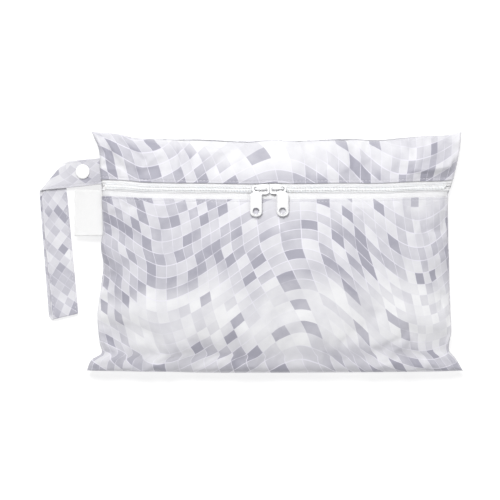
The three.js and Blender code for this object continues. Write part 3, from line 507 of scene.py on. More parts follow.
    def waves(self, u, v):
        """Broad soft waves of the loose cloth."""
        x, y = self.plan(u, v)
        total = 0
        for k, (angle, wave) in enumerate(SLACK_WAVES):
            along = x * math.cos(angle) + y * math.sin(angle)
            across = y * math.cos(angle) - x * math.sin(angle)
            bend = 1.4 * np.sin(across * 2 * math.pi / (2.3 * wave) + k)
            total = total + np.sin(along * 2 * math.pi / wave + 1.9 * k + bend) / (1 + 0.5 * k)
        return self.pouch.slack * total

    def rolls(self, u, v):
        """The cloth rolls over full and round right above the bottom seam."""
        up = v * self.pouch.height
        uneven = 1 + 0.3 * ripples(self.plan(u, v)[0], ROLL_WAVE, 9)
        round_top = np.exp(-(((up - ROLL_MIDDLE) / ROLL_REACH) ** 2))
        return self.pouch.roll * uneven * round_top * smooth(up / ROLL_ONSET)

    def soft_relief(self, u, v):
        """What the cloth adds to the plain form: fine folds, waves and gathers."""
        room = smooth(RELIEF_ONSET * self.front_fullness(u, v))
        still = 1 - 0.85 * self.near_sliders(u, v)
        folds = sum(self.fold(row, u, v) for row in FINE_FOLDS)
        seams = self.gathers(u, v) + self.rolls(u, v)
        return room * still * (folds + self.waves(u, v)) + still * seams

    def settled(self, which, u, v):
        """How far the simulation moved the cloth there, or nothing where it hasn't run."""
        found = SETTLED.get(which)
        if found is None:
            return 0.0
        columns, rows, shift = found
        column = np.interp(u, columns, np.arange(len(columns)))
        row = np.interp(v, rows, np.arange(len(rows)))
        left = np.minimum(column.astype(int), len(columns) - 2)
        low = np.minimum(row.astype(int), len(rows) - 2)
        s = (column - left)[..., None]
        t = (row - low)[..., None]
        below = shift[low, left] * (1 - s) + shift[low, left + 1] * s
        above = shift[low + 1, left] * (1 - s) + shift[low + 1, left + 1] * s
        return below * (1 - t) + above * t

    def cloth_front(self, u, v, depth=0.0):
        """The front as the finished cloth lies. It stays put right beside the zipper."""
        points = self.front(u, v, depth)
        from_zip = np.abs((v - self.zip_v) * self.pouch.height)
        free = np.maximum(smooth((from_zip - self.zipper.chain_width) / 0.012), 0)
        points[..., 2] += self.soft_relief(u, v) * free
        up = v * self.pouch.height
        points[..., 1] -= self.pouch.overhang * smooth(up / 0.003) * (1 - smooth((up - 0.003) / 0.011))
        still = (1 - 0.9 * self.near_sliders(u, v)) * (0.3 + 0.7 * free)
        return points + self.settled("front", u, v) * still[..., None]

    def cloth_back(self, u, v, depth=0.0):
        """The back as the finished cloth lies, never below the floor."""
        points = self.back(u, v, depth) + self.settled("back", u, v)
        free = smooth((points[..., 2] - self.pouch.cloth) / 0.003)
        room = smooth(RELIEF_ONSET * self.back_fullness(u, v))
        points[..., 2] -= 0.7 * self.gathers(u, v) * free * room
        points[..., 2] = np.maximum(points[..., 2], 0.00005)
        return points

    def zip_strip(self, u, distance, depth):
        """Points beside the zipper, at a distance above its middle line."""
        return self.cloth_front(u, self.beside_zip(distance), depth)

    def share_at(self, x):
        """Column share at a distance along X, near the middle of the zipper."""
        low = self.plan(0.0, self.zip_v)[0]
        high = self.plan(1.0, self.zip_v)[0]
        return (x - low) / (high - low)


class Tree:
    """Adds linked nodes to one node tree."""

    def __init__(self, tree):
        self.tree = tree

    def add(self, kind, *inputs, **settings):
        """A new node. Each input is a value, a socket, or a pair of input name and either."""
        node = self.tree.nodes.new("ShaderNode" + kind)
        for name, value in settings.items():
            setattr(node, name, value)
        for place, given in enumerate(inputs):
            named = isinstance(given, tuple) and isinstance(given[0], str)
            name, value = given if named else (place, given)
            if isinstance(value, bpy.types.NodeSocket):
                self.tree.links.new(value, node.inputs[name])
            elif value is not None:
                node.inputs[name].default_value = value
        return node

    def math(self, operation, *values):
        """The result of a Math node."""
        return self.add("Math", *values, operation=operation).outputs[0]

    def ramp(self, value, low, high, start=0.0, end=1.0):
        """A value eased from start to end between low and high."""
        node = self.add(
            "MapRange", ("Value", value), ("From Min", low), ("From Max", high),
            ("To Min", start), ("To Max", end), interpolation_type="SMOOTHSTEP"
        )
        return node.outputs["Result"]

    def mix(self, share, first, second):
        """Two colours mixed."""
        node = self.add("Mix", data_type="RGBA")
        sockets = (node.inputs[0], node.inputs[6], node.inputs[7])
        for socket, value in zip(sockets, (share, first, second)):
            if isinstance(value, bpy.types.NodeSocket):
                self.tree.links.new(value, socket)
            else:
                socket.default_value = value
        return node.outputs[2]


def shared_group(name, inputs, outputs, fill):
    """A node group with named sockets, built once."""
    group = bpy.data.node_groups.get(name)
    if group:
        return group
    group = bpy.data.node_groups.new(name, "ShaderNodeTree")
    for socket_name, kind, default in inputs:
        socket = group.interface.new_socket(
            name=socket_name, in_out="INPUT", socket_type="NodeSocket" + kind
        )
        if default is not None:
            socket.default_value = default
    for socket_name, kind in outputs:
        group.interface.new_socket(name=socket_name, in_out="OUTPUT", socket_type="NodeSocket" + kind)
    tree = Tree(group)
    start = group.nodes.new("NodeGroupInput")
    end = group.nodes.new("NodeGroupOutput")
    for socket_name, value in fill(tree, start.outputs).items():
        group.links.new(value, end.inputs[socket_name])
    return group


def mosaic_group():
    """A warped grid of small tiles: each tile's shade, and the pale lines between them."""

    def fill(tree, given):
        place = tree.add("SeparateXYZ", given["Vector"]).outputs
        x, y = place[0], place[1]
        coarse = tree.add("TexNoise", ("Vector", given["Vector"]), ("Scale", 9.0), ("Detail", 0.0))
        push = tree.add("SeparateXYZ", coarse.outputs["Color"]).outputs
        push_x = tree.math("MULTIPLY", tree.math("SUBTRACT", push[0], 0.5), given["Warp"])
        push_y = tree.math("MULTIPLY", tree.math("SUBTRACT", push[1], 0.5), given["Warp"])
        arch = tree.math("COSINE", tree.math("MULTIPLY_ADD", x, 29.0, -0.35))
        lower = tree.math("SINE", tree.math("MULTIPLY", y, 17.0))
        reach = tree.math("MULTIPLY", given["Arch"], tree.math("MULTIPLY_ADD", lower, -0.35, 0.9))
        calmer = tree.ramp(x, -0.16, -0.09, 0.35, 1.0)
        rise = tree.math("MULTIPLY", tree.math("MULTIPLY", arch, reach), calmer)
        row_y = tree.math("SUBTRACT", tree.math("ADD", y, push_y), rise)
        broad = tree.math("MULTIPLY", tree.math("SINE", tree.math("MULTIPLY", x, 21.1)), -0.026)
        narrow = tree.math("SINE", tree.math("MULTIPLY", x, 63.3))
        squeeze = tree.math("MULTIPLY_ADD", narrow, -0.0045, broad)
        lean = tree.math("MULTIPLY_ADD", x, 1.5, tree.math("MULTIPLY", y, 0.3))
        row_x = tree.math("ADD", tree.math("ADD", lean, push_x), squeeze)
        across = tree.math("DIVIDE", row_x, given["Tile Width"])
        up = tree.math("DIVIDE", row_y, given["Tile Height"])
        cell = tree.add("CombineXYZ", tree.math("FLOOR", across), tree.math("FLOOR", up), given["Seed"])
        chance = tree.add("TexWhiteNoise", cell.outputs[0]).outputs["Value"]
        region = tree.add("TexNoise", ("Vector", given["Vector"]), ("Scale", 12.0), ("Detail", 2.0))
        cloud = tree.add("TexNoise", ("Vector", given["Vector"]), ("Scale", 70.0), ("Detail", 4.0))
        # Broad bands of the print's tone up and across the cloth. Their phase also darkens the tiles
        # along the bottom seam: partly the print's own dark tiles there, partly painted shade where the
        # cloth rolls under.
        tide_with_bottom_shade = tree.math("MULTIPLY", tree.math("SINE", tree.math("MULTIPLY_ADD", y, 48.0, 0.59)), 0.27)
        sides = tree.math("COSINE", tree.math("MULTIPLY_ADD", x, 19.6, -0.6))
        tide_with_bottom_shade = tree.math("MULTIPLY_ADD", sides, 0.09, tide_with_bottom_shade)
        toned = tree.math("ADD", region.outputs["Fac"], given["Tone"])
        region_share = tree.ramp(tree.math("ADD", toned, tide_with_bottom_shade), 0.35, 0.72)
        contrast = tree.ramp(region_share, 0.0, 1.0, 0.62, 0.3)
        shade = tree.math("MULTIPLY_ADD", region_share, 0.5, tree.math("MULTIPLY", chance, contrast))
        odd = tree.math("MULTIPLY", tree.math("LESS_THAN", chance, 0.07), -0.3)
        shade = tree.math("ADD", shade, odd)
        shade = tree.math("MULTIPLY_ADD", cloud.outputs["Fac"], 0.34, tree.math("SUBTRACT", shade, 0.11))
        edges = []
        for count, size in ((across, given["Tile Width"]), (up, given["Tile Height"])):
            within = tree.math("FRACT", count)
            near = tree.math("MINIMUM", within, tree.math("SUBTRACT", 1.0, within))
            edges.append(tree.math("MULTIPLY", near, size))
        line = tree.ramp(tree.math("MINIMUM", *edges), 0.00016, 0.0005, 1.0, 0.0)
        faint = tree.ramp(cloud.outputs["Fac"], 0.35, 0.55, 0.45, 1.0)
        faint = tree.math("MULTIPLY", faint, tree.ramp(region_share, 0.6, 1.0, 1.0, 0.3))
        return {"Shade": shade, "Line": tree.math("MULTIPLY", line, faint)}

    inputs = (
        ("Vector", "Vector", None), ("Tile Width", "Float", 0.0105), ("Tile Height", "Float", 0.0076),
        ("Warp", "Float", 0.042), ("Arch", "Float", 0.024),
        ("Tone", "Float", 0.0), ("Seed", "Float", 0.0),
    )
    return shared_group("Warped mosaic", inputs, (("Shade", "Float"), ("Line", "Float")), fill)


def knit_group():
    """Fine knit of the cloth's face, as a height."""

    def fill(tree, given):
        scaled = tree.add("VectorMath", given["Vector"], operation="SCALE")
        tree.tree.links.new(given["Loops per Metre"], scaled.inputs["Scale"])
        place = tree.add("SeparateXYZ", scaled.outputs[0]).outputs
        wale = tree.math("ABSOLUTE", tree.math("SINE", tree.math("MULTIPLY", place[0], math.pi)))
        course = tree.math("SINE", tree.math("MULTIPLY", place[1], 2 * math.pi))
        loop = tree.math("MULTIPLY_ADD", course, 0.3, wale)
        fuzz = tree.add("TexNoise", ("Vector", scaled.outputs[0]), ("Scale", 0.7), ("Detail", 2.0))
        return {"Height": tree.math("MULTIPLY_ADD", fuzz.outputs["Fac"], 0.8, loop)}

    inputs = (("Vector", "Vector", None), ("Loops per Metre", "Float", 1900.0))
    return shared_group("Fine knit", inputs, (("Height", "Float"),), fill)


def weave_group():
    """Herringbone weave of a tape or label: its height, and a mask of the low gaps between its threads,
    where painted shade goes.
    """

    def fill(tree, given):
        scaled = tree.add("VectorMath", given["Vector"], operation="SCALE")
        tree.tree.links.new(given["Threads per Metre"], scaled.inputs["Scale"])
        place = tree.add("SeparateXYZ", scaled.outputs[0]).outputs
        band = tree.math("PINGPONG", place[1], given["Band"])
        slant = tree.math("ADD", place[0], band)
        rib = tree.math("SINE", tree.math("MULTIPLY", slant, 2 * math.pi))
        cross = tree.math("SINE", tree.math("MULTIPLY", place[1], 4 * math.pi))
        height = tree.math("MULTIPLY_ADD", cross, 0.35, rib)
        return {"Height": height, "Gap": tree.ramp(height, -1.2, -0.3, 1.0, 0.0)}

    inputs = (
        ("Vector", "Vector", None), ("Threads per Metre", "Float", 1500.0), ("Band", "Float", 4.0),
    )
    return shared_group("Herringbone weave", inputs, (("Height", "Float"), ("Gap", "Float")), fill)


def wear_group():
    """Slow change over a surface, for roughness and a slight change of tone."""

    def fill(tree, given):
        broad = tree.add(
            "TexNoise", ("Vector", given["Vector"]), ("Scale", given["Scale"]), ("Detail", 4.0)
        )
        fine_scale = tree.math("MULTIPLY", given["Scale"], 9.0)
        fine = tree.add("TexNoise", ("Vector", given["Vector"]), ("Scale", fine_scale), ("Detail", 2.0))
        most = tree.math("MULTIPLY", broad.outputs["Fac"], 0.6)
        both = tree.math("MULTIPLY_ADD", fine.outputs["Fac"], 0.4, most)
        return {"Wear": tree.ramp(both, 0.35, 0.65)}

    inputs = (("Vector", "Vector", None), ("Scale", "Float", 30.0))
    return shared_group("Slow wear", inputs, (("Wear", "Float"),), fill)


def opaque(colour):
    """A colour with full alpha."""
    return (*colour[:3], 1.0)


def new_finish(name, constants):
    """A material with a Principled shader and its plain values. Returns it, its tree and the shader."""
    material = bpy.data.materials.new(name)
    material.use_nodes = True
    nodes = material.node_tree.nodes
    nodes.clear()
    tree = Tree(material.node_tree)
    shader = nodes.new("ShaderNodeBsdfPrincipled")
    output = nodes.new("ShaderNodeOutputMaterial")
    material.node_tree.links.new(shader.outputs[0], output.inputs["Surface"])
    for socket, value in constants.items():
        shader.inputs[socket].default_value = value
    return material, tree, shader


def use_group(tree, group, *inputs):
    """A node group placed in a tree, with its values."""
    node = tree.tree.nodes.new("ShaderNodeGroup")
    node.node_tree = group
    for name, value in inputs:
        if isinstance(value, bpy.types.NodeSocket):
            tree.tree.links.new(value, node.inputs[name])
        else:
            node.inputs[name].default_value = value
    return node


def bumped(tree, shader, height, strength, distance):
    """Feeds a height to the shader's normal."""
    bump = tree.add("Bump", ("Strength", strength), ("Distance", distance), ("Height", height))
    tree.tree.links.new(bump.outputs[0], shader.inputs["Normal"])


def cloth_place(tree):
    """The cloth's own flat coordinates, in metres."""
    return tree.add("UVMap", uv_map="Cloth").outputs[0]


def colour_steps(tree, value, steps):
    """A colour ramp over a value."""
    node = tree.add("ValToRGB", value)
    ramp = node.color_ramp
    while len(ramp.elements) < len(steps):
        ramp.elements.new(0.5)
    for element, (position, colour) in zip(ramp.elements, steps):
        element.position = position
        element.color = opaque(colour)
    return node.outputs["Color"]


def print_cloth(look, name, tile_size, warp, arch, tone, line_strength):
    """Coated knit cloth with the mosaic print. tile_size is a share of the print's tile."""
    constants = {"Sheen Weight": 0.22, "Sheen Roughness": 0.45, "Specular IOR Level": 0.42, "IOR": 1.46}
    material, tree, shader = new_finish(name, constants)
    place = cloth_place(tree)
    tiles = use_group(
        tree, mosaic_group(), ("Vector", place), ("Tile Width", tile_size * look.tile_width),
        ("Tile Height", tile_size * look.tile_height), ("Warp", warp), ("Arch", arch), ("Tone", tone)
    )
    steps = (
        (0.12, look.tile_dark), (0.34, look.tile_mid), (0.56, look.tile_light), (0.86, look.tile_pale),
    )
    shades = colour_steps(tree, tiles.outputs["Shade"], steps)
    line_share = tree.math("MULTIPLY", tiles.outputs["Line"], line_strength)
    colour = tree.mix(line_share, shades, opaque(look.grout))
    tree.tree.links.new(colour, shader.inputs["Base Color"])
    wear = use_group(tree, wear_group(), ("Vector", place), ("Scale", 45.0))
    tree.tree.links.new(tree.ramp(wear.outputs[0], 0, 1, 0.46, 0.62), shader.inputs["Roughness"])
    knit = use_group(tree, knit_group(), ("Vector", place))
    bumped(tree, shader, knit.outputs[0], 0.35, 0.00008)
    return material


def laminate(look):
    """Smooth coated inner face of the cloth."""
    material, tree, shader = new_finish("laminate", {"Specular IOR Level": 0.5})
    place = cloth_place(tree)
    wear = use_group(tree, wear_group(), ("Vector", place), ("Scale", 60.0))
    darker = tuple(0.94 * part for part in look.laminate)
    colour = tree.mix(wear.outputs[0], opaque(darker), opaque(look.laminate))
    tree.tree.links.new(colour, shader.inputs["Base Color"])
    tree.tree.links.new(tree.ramp(wear.outputs[0], 0, 1, 0.3, 0.42), shader.inputs["Roughness"])
    bumped(tree, shader, wear.outputs[0], 0.3, 0.0001)
    return material


def woven(name, colour, threads, band, roughness, sheen):
    """Woven tape or label, with painted shade in the gaps of its weave."""
    material, tree, shader = new_finish(name, {"Sheen Weight": sheen, "Sheen Roughness": 0.4})
    place = cloth_place(tree)
    weave = use_group(
        tree, weave_group(), ("Vector", place), ("Threads per Metre", threads), ("Band", band)
    )
    # The gaps between the threads get the darker colour: painted shade in the weave's hollows.
    darker = tuple(0.8 * part for part in colour)
    mixed = tree.mix(tree.math("MULTIPLY", weave.outputs["Gap"], 0.8), opaque(colour), opaque(darker))
    tree.tree.links.new(mixed, shader.inputs["Base Color"])
    wear = use_group(tree, wear_group(), ("Vector", place), ("Scale", 80.0))
    rough = tree.ramp(wear.outputs[0], 0, 1, roughness - 0.05, roughness + 0.06)
    tree.tree.links.new(rough, shader.inputs["Roughness"])
    bumped(tree, shader, weave.outputs["Height"], 0.55, 0.00012)
    return material


def moulded(name, colour, constants, roughness, grain, depth):
    """Moulded or painted hard finish, with a slight unevenness."""
    material, tree, shader = new_finish(name, constants)
    place = tree.add("TexCoord").outputs["Object"]
    wear = use_group(tree, wear_group(), ("Vector", place), ("Scale", grain))
    darker = tuple(0.95 * part for part in colour)
    mixed = tree.mix(wear.outputs[0], opaque(darker), opaque(colour))
    tree.tree.links.new(mixed, shader.inputs["Base Color"])
    rough = tree.ramp(wear.outputs[0], 0, 1, roughness - 0.05, roughness + 0.07)
    tree.tree.links.new(rough, shader.inputs["Roughness"])
    bumped(tree, shader, wear.outputs[0], 0.4, depth)
    return material


def thread_finish(look):
    """Twisted sewing thread, painted darker in the grooves of its twist as painted shade."""
    material, tree, shader = new_finish("sewing_thread", {"Sheen Weight": 0.3})
    place = tree.add("TexCoord").outputs["Object"]
    twist = tree.add(
        "TexWave", ("Vector", place), ("Scale", 900.0), ("Distortion", 2.0), bands_direction="DIAGONAL"
    )
    # The low grooves of the twist get the darker colour: painted shade.
    darker = tuple(0.82 * part for part in look.thread)
    mixed = tree.mix(twist.outputs["Fac"], opaque(darker), opaque(look.thread))
    tree.tree.links.new(mixed, shader.inputs["Base Color"])
    tree.tree.links.new(tree.ramp(twist.outputs["Fac"], 0, 1, 0.5, 0.65), shader.inputs["Roughness"])
    bumped(tree, shader, twist.outputs["Fac"], 0.5, 0.00006)
    return material


def finish_named(name, look):
    """A finish by name, built when it is first asked for."""
    found = bpy.data.materials.get(name)
    if found:
        return found
    glossy = {"Coat Weight": 0.35, "Coat Roughness": 0.12, "Specular IOR Level": 0.5}
    makers = {
        "print_cloth": lambda: print_cloth(look, "print_cloth", 1.0, 0.042, 0.024, 0.0, 0.85),
        "print_strap": lambda: print_cloth(look, "print_strap", 0.75, 0.03, 0.004, -0.13, 0.4),
        "laminate": lambda: laminate(look),
        "zipper_weave": lambda: woven("zipper_weave", look.tape, 1450.0, 4.0, 0.72, 0.25),
        "label_weave": lambda: woven("label_weave", look.satin, 2600.0, 3.0, 0.42, 0.35),
        "nylon_coil": lambda: moulded(
            "nylon_coil", look.coil, {"Subsurface Weight": 0.05}, 0.34, 260.0, 0.00003
        ),
        "white_enamel": lambda: moulded("white_enamel", look.enamel, glossy, 0.28, 320.0, 0.00003),
        "snap_resin": lambda: moulded("snap_resin", look.resin, glossy, 0.2, 240.0, 0.00002),
        "sewing_thread": lambda: thread_finish(look),
    }
    return makers[name]()


def finish_piece(name, shape, finishes, body="pouch", replaced=(), slot=None, shade_smooth=True):
    """Turns a bmesh into a finished piece that rides on a body."""
    mesh = bpy.data.meshes.new(name)
    shape.to_mesh(mesh)
    shape.free()
    for finish in finishes:
        mesh.materials.append(finish)
    if shade_smooth:
        mesh.shade_smooth()
    piece = bpy.data.objects.new(name, mesh)
    bpy.context.scene.collection.objects.link(piece)
    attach(piece, body)
    if replaced:
        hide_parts(*replaced)
    return piece


def apply_modifiers(piece):
    """Makes a piece's modifiers part of its mesh."""
    bpy.context.view_layer.update()
    shaped = piece.evaluated_get(bpy.context.evaluated_depsgraph_get())
    mesh = bpy.data.meshes.new_from_object(shaped)
    mesh.name = piece.name
    piece.modifiers.clear()
    piece.data = mesh
    return piece


def add_cloth_grid(shape, points, flat):
    """A flat grid of cloth, laid on points by rows. flat gives its own flat coordinates."""
    rows, columns = points.shape[:2]
    made = bmesh.ops.create_grid(shape, x_segments=columns - 1, y_segments=rows - 1, size=1)
    verts = made["verts"]
    if len(verts) != rows * columns:
        raise RuntimeError(f"the grid has {len(verts)} points, not {rows * columns}")
    layer = shape.loops.layers.uv.get("Cloth") or shape.loops.layers.uv.new("Cloth")
    places = {}
    for vert in verts:
        column = round((vert.co.x + 1) / 2 * (columns - 1))
        row = round((vert.co.y + 1) / 2 * (rows - 1))
        vert.co = points[row, column]
        places[vert] = (row, column)
    for face in shape.faces:
        for loop in face.loops:
            loop[layer].uv = flat[places[loop.vert]]
    return places


def cloth_piece(name, points, flat, thickness, finishes, **placing):
    """A sheet of cloth with its wall, its outer face on the points."""
    shape = bmesh.new()
    add_cloth_grid(shape, points, flat)
    piece = finish_piece(name, shape, finishes, **placing)
    wall = piece.modifiers.new("Wall", "SOLIDIFY")
    wall.thickness = thickness
    wall.offset = -1
    wall.use_even_offset = False
    if len(finishes) > 1:
        wall.material_offset = 1
    return apply_modifiers(piece)


def buckled(name, points, held, pressure):
    """How far each point of a sheet moves as its loose cloth buckles, by Blender's cloth simulation."""
    shape = bmesh.new()
    places = add_cloth_grid(shape, points, points[..., :2])
    shape.verts.index_update()
    rows = np.zeros(len(places), dtype=int)
    columns = np.zeros(len(places), dtype=int)
    for vert, (row, column) in places.items():
        rows[vert.index], columns[vert.index] = row, column
    mesh = bpy.data.meshes.new(name)
    shape.to_mesh(mesh)
    shape.free()
    sheet = bpy.data.objects.new(name, mesh)
    scene = bpy.context.scene
    scene.collection.objects.link(sheet)
    group = sheet.vertex_groups.new(name="Held")
    for index, share in enumerate(held[rows, columns]):
        if share > 0.5:
            group.add([index], 1.0, "REPLACE")
    cloth = sheet.modifiers.new("Cloth", "CLOTH")
    settings = cloth.settings
    settings.quality = 6
    settings.mass = 0.2
    settings.tension_stiffness = 20
    settings.compression_stiffness = 20
    settings.shear_stiffness = 8
    settings.bending_stiffness = 0.25
    settings.vertex_group_mass = "Held"
    settings.shrink_min = -0.035
    settings.use_pressure = True
    settings.uniform_pressure_force = pressure
    settings.effector_weights.gravity = 0
    for step in range(1, 21):
        scene.frame_set(step)
    moved = sheet.evaluated_get(bpy.context.evaluated_depsgraph_get()).data
    now = np.zeros(3 * len(places))
    moved.vertices.foreach_get("co", now)
    shift = np.zeros_like(points)
    shift[rows, columns] = now.reshape(-1, 3) - points[rows, columns]
    bpy.data.objects.remove(sheet)
    bpy.data.meshes.remove(mesh)
    scene.frame_set(1)
    return shift


def without_swelling(shift, passes):
    """What is left of a movement once its broad part is taken off, which only swells the pouch."""
    broad = shift.copy()
    for _ in range(passes):
        padded = np.pad(broad, ((1, 1), (1, 1), (0, 0)), mode="edge")
        broad = (padded[:-2, 1:-1] + padded[2:, 1:-1] + padded[1:-1, :-2] + padded[1:-1, 2:]) / 4
    return shift - 0.85 * broad


def crowded(count, crowding=0.75):
    """Shares from 0 to 1, closer together near both ends."""
    s = np.linspace(0, 1, count + 1)
    return crowding * (0.5 - 0.5 * np.cos(math.pi * s)) + (1 - crowding) * s


def turned_edge(form, u, v):
    """How far the cloth is drawn in right at the seam, where it is turned."""
    p = form.pouch
    away = np.minimum(np.minimum(u, 1 - u) * p.width, np.minimum(v, 1 - v) * p.height)
    return 0.0005 * (1 - smooth(away / 0.0016))


def front_panel(form, side, columns, rows):
    """Points and flat coordinates of one front panel. side: 1 above the zipper, -1 below."""
    p = form.pouch
    z = form.zipper
    edge = z.upper_edge if side > 0 else z.lower_edge
    radius = p.cloth / 2
    whole = p.height - z.from_bottom if side > 0 else z.from_bottom
    far = crowded(rows) * (whole - edge - 0.006) + edge + 0.006
    near = np.linspace(edge + radius, edge + 0.006, 15)[:-1]
    turn = np.linspace(math.pi, 0, 9)[:-1]
    under = np.linspace(edge + p.hem, edge + radius, 5)[:-1]
    distance = np.concatenate([under, edge + radius - radius * np.sin(turn), near, far])
    depth = np.concatenate([
        np.full(len(under), p.cloth), radius - radius * np.cos(turn), np.zeros(len(near) + len(far)),
    ])
    rolled = edge + radius - radius * turn
    along = np.concatenate([2 * (edge + radius) - math.pi * radius - under, rolled, near, far])
    stitched = 0.0002 * np.exp(-(((distance - edge - z.stitch_inset) / 0.0007) ** 2)) * (depth < radius)
    v = form.beside_zip(side * distance)
    if side < 0:
        v, depth, along, stitched = v[::-1], depth[::-1], along[::-1], stitched[::-1]
    across, up = np.meshgrid(columns, np.clip(v, 0, 1))
    sunk = (depth + stitched)[:, None] + turned_edge(form, across, up)
    points = form.cloth_front(across, up, sunk)
    flat = np.stack([(across - 0.5) * p.width, (side * along)[:, None] + 0 * across], axis=-1)
    return points, flat


def back_panel(form, columns, rows):
    """Points and flat coordinates of the back, its outer face down."""
    p = form.pouch
    across, up = np.meshgrid(columns[::-1], crowded(rows))
    points = form.cloth_back(across, up, turned_edge(form, across, up))
    flat = np.stack([(0.5 - across) * p.width + 0.41, up * p.height + 0.77], axis=-1)
    return points, flat


def tape_strip(form, side, columns):
    """Points and flat coordinates of one zipper tape, under its panel's edge."""
    z = form.zipper
    s = form.slider
    meeting = form.share_at(z.meeting_x)
    reach = s.length - s.post_from_tail
    lens = np.maximum(0, 1 - ((columns - meeting) * form.pouch.width / reach) ** 2)
    split = z.tape_split / 2 + (s.wedge_width / 2 + s.clearance) * np.sqrt(lens)
    beside = z.chain_width / 2 / z.tape_width
    near_chain = beside + np.linspace(-0.06, 0.1, 11)
    shares = np.concatenate([[0, 0.05, 0.1], near_chain, np.linspace(0.36, 1, 7)])
    distance = split[None, :] + (z.tape_width - split[None, :]) * shares[:, None]
    sewn = np.exp(-(((distance - z.chain_width / 2 - SEWN_RIDGE_OFFSET) / SEWN_RIDGE_REACH) ** 2))
    if side < 0:
        distance, sewn = distance[::-1], sewn[::-1]
    across = np.broadcast_to(columns, distance.shape)
    free = 1 - form.near_sliders(across, 0 * across + form.zip_v)
    depth = form.pouch.cloth + z.gap - z.sewn_edge * sewn * free
    points = form.zip_strip(across, side * distance, depth)
    flat = np.stack([(across - 0.5) * form.pouch.width, side * distance], axis=-1)
    return points, flat


def tube_mesh(name, paths, radius, sides):
    """A bmesh of tubes along paths, from a bevelled curve."""
    curve = bpy.data.curves.new(name, "CURVE")
    curve.dimensions = "3D"
    curve.bevel_depth = radius
    curve.bevel_resolution = sides
    curve.use_fill_caps = True
    for run in paths:
        spline = curve.splines.new("POLY")
        spline.points.add(len(run) - 1)
        for point, place in zip(spline.points, run):
            point.co = (*place, 1)
    holder = bpy.data.objects.new(name, curve)
    bpy.context.scene.collection.objects.link(holder)
    bpy.context.view_layer.update()
    mesh = bpy.data.meshes.new_from_object(holder.evaluated_get(bpy.context.evaluated_depsgraph_get()))
    shape = bmesh.new()
    shape.from_mesh(mesh)
    bpy.data.objects.remove(holder)
    bpy.data.curves.remove(curve)
    bpy.data.meshes.remove(mesh)
    return shape


def coil_path(form, side, start, end):
    """The turns of one coil along the chain. side: 1 the upper coil, -1 the lower."""
    z = form.zipper
    inner = -0.0005
    outer = z.chain_width / 2 - z.coil_wire / 2
    middle = (inner + outer) / 2
    half = (outer - inner) / 2
    turns = int((end - start) / z.coil_pitch)
    phase = np.linspace(0, turns, turns * 12 + 1)
    angle = 2 * math.pi * phase
    within = phase - np.floor(phase)
    advance = np.floor(phase) + smooth((within - 0.32) / 0.36)
    along = start + (advance + (0.5 if side > 0 else 0)) * z.coil_pitch
    distance = side * (middle - half * np.cos(angle))
    rise = (z.chain_thickness - z.coil_wire) / 2 * np.sin(angle)
    depth = form.pouch.cloth + z.gap - z.chain_thickness / 2 - rise
    return form.zip_strip(form.share_at(along), distance, depth)


def stitches(name, path, normals, pitch, length, thread, finishes, **placing):
    """A row of separate stitches along a path, half sunk in the cloth."""
    shape = bmesh.new()
    steps = np.linalg.norm(np.diff(path, axis=0), axis=1)
    travelled = np.concatenate([[0], np.cumsum(steps)])
    for k in range(int((travelled[-1] - length) / pitch)):
        middle = (k + 0.5) * pitch
        ends = []
        for at in (middle - length / 2, middle + length / 2):
            ends.append(Vector([np.interp(at, travelled, path[:, axis]) for axis in range(3)]))
        normal = Vector([np.interp(middle, travelled, normals[:, axis]) for axis in range(3)])
        normal.normalize()
        direction = (ends[1] - ends[0]).normalized()
        sideways = normal.cross(direction).normalized()
        upward = direction.cross(sideways)
        turn = Matrix((direction, sideways, upward)).transposed().to_4x4()
        size = Matrix.Diagonal((length / 2, thread / 2, thread / 2, 1))
        place = Matrix.Translation((ends[0] + ends[1]) / 2 + upward * thread * 0.12)
        bmesh.ops.create_uvsphere(
            shape, u_segments=6, v_segments=5, radius=1, matrix=place @ turn @ size
        )
    return finish_piece(name, shape, finishes, **placing)


def rise_of(points_at, path_u, path_d):
    """Normals of a surface along a path of column shares and distances."""
    step = 0.0004
    ahead = points_at(path_u + step, path_d) - points_at(path_u - step, path_d)
    up = points_at(path_u, path_d + step) - points_at(path_u, path_d - step)
    normal = np.cross(ahead, up)
    return normal / np.linalg.norm(normal, axis=1)[:, None]


def outline_between(start, control, end, steps):
    """Points of a quadratic curve after its start."""
    shares = [(k + 1) / steps for k in range(steps)]
    return [
        ((1 - s) ** 2 * start[0] + 2 * s * (1 - s) * control[0] + s * s * end[0],
         (1 - s) ** 2 * start[1] + 2 * s * (1 - s) * control[1] + s * s * end[1])
        for s in shares
    ]


def cubic_between(start, first, second, end, steps):
    """Points of a cubic curve after its start."""
    points = []
    for k in range(steps):
        s = (k + 1) / steps
        weights = ((1 - s) ** 3, 3 * s * (1 - s) ** 2, 3 * s * s * (1 - s), s**3)
        points.append(tuple(
            sum(weight * place[axis] for weight, place in zip(weights, (start, first, second, end)))
            for axis in range(2)
        ))
    return points


def fill_outlines(shape, outlines, low, high):
    """A flat plate between two levels, from its outline and those of its holes."""
    edges = []
    for outline in outlines:
        verts = [shape.verts.new((x, y, low)) for x, y in outline]
        edges += [shape.edges.new((a, b)) for a, b in zip(verts, verts[1:] + verts[:1])]
    filled = bmesh.ops.triangle_fill(shape, edges=edges, use_beauty=True)
    faces = [item for item in filled["geom"] if isinstance(item, bmesh.types.BMFace)]
    raised = bmesh.ops.extrude_face_region(shape, geom=faces, use_keep_orig=True)
    verts = [item for item in raised["geom"] if isinstance(item, bmesh.types.BMVert)]
    bmesh.ops.translate(shape, verts=verts, vec=(0, 0, high - low))


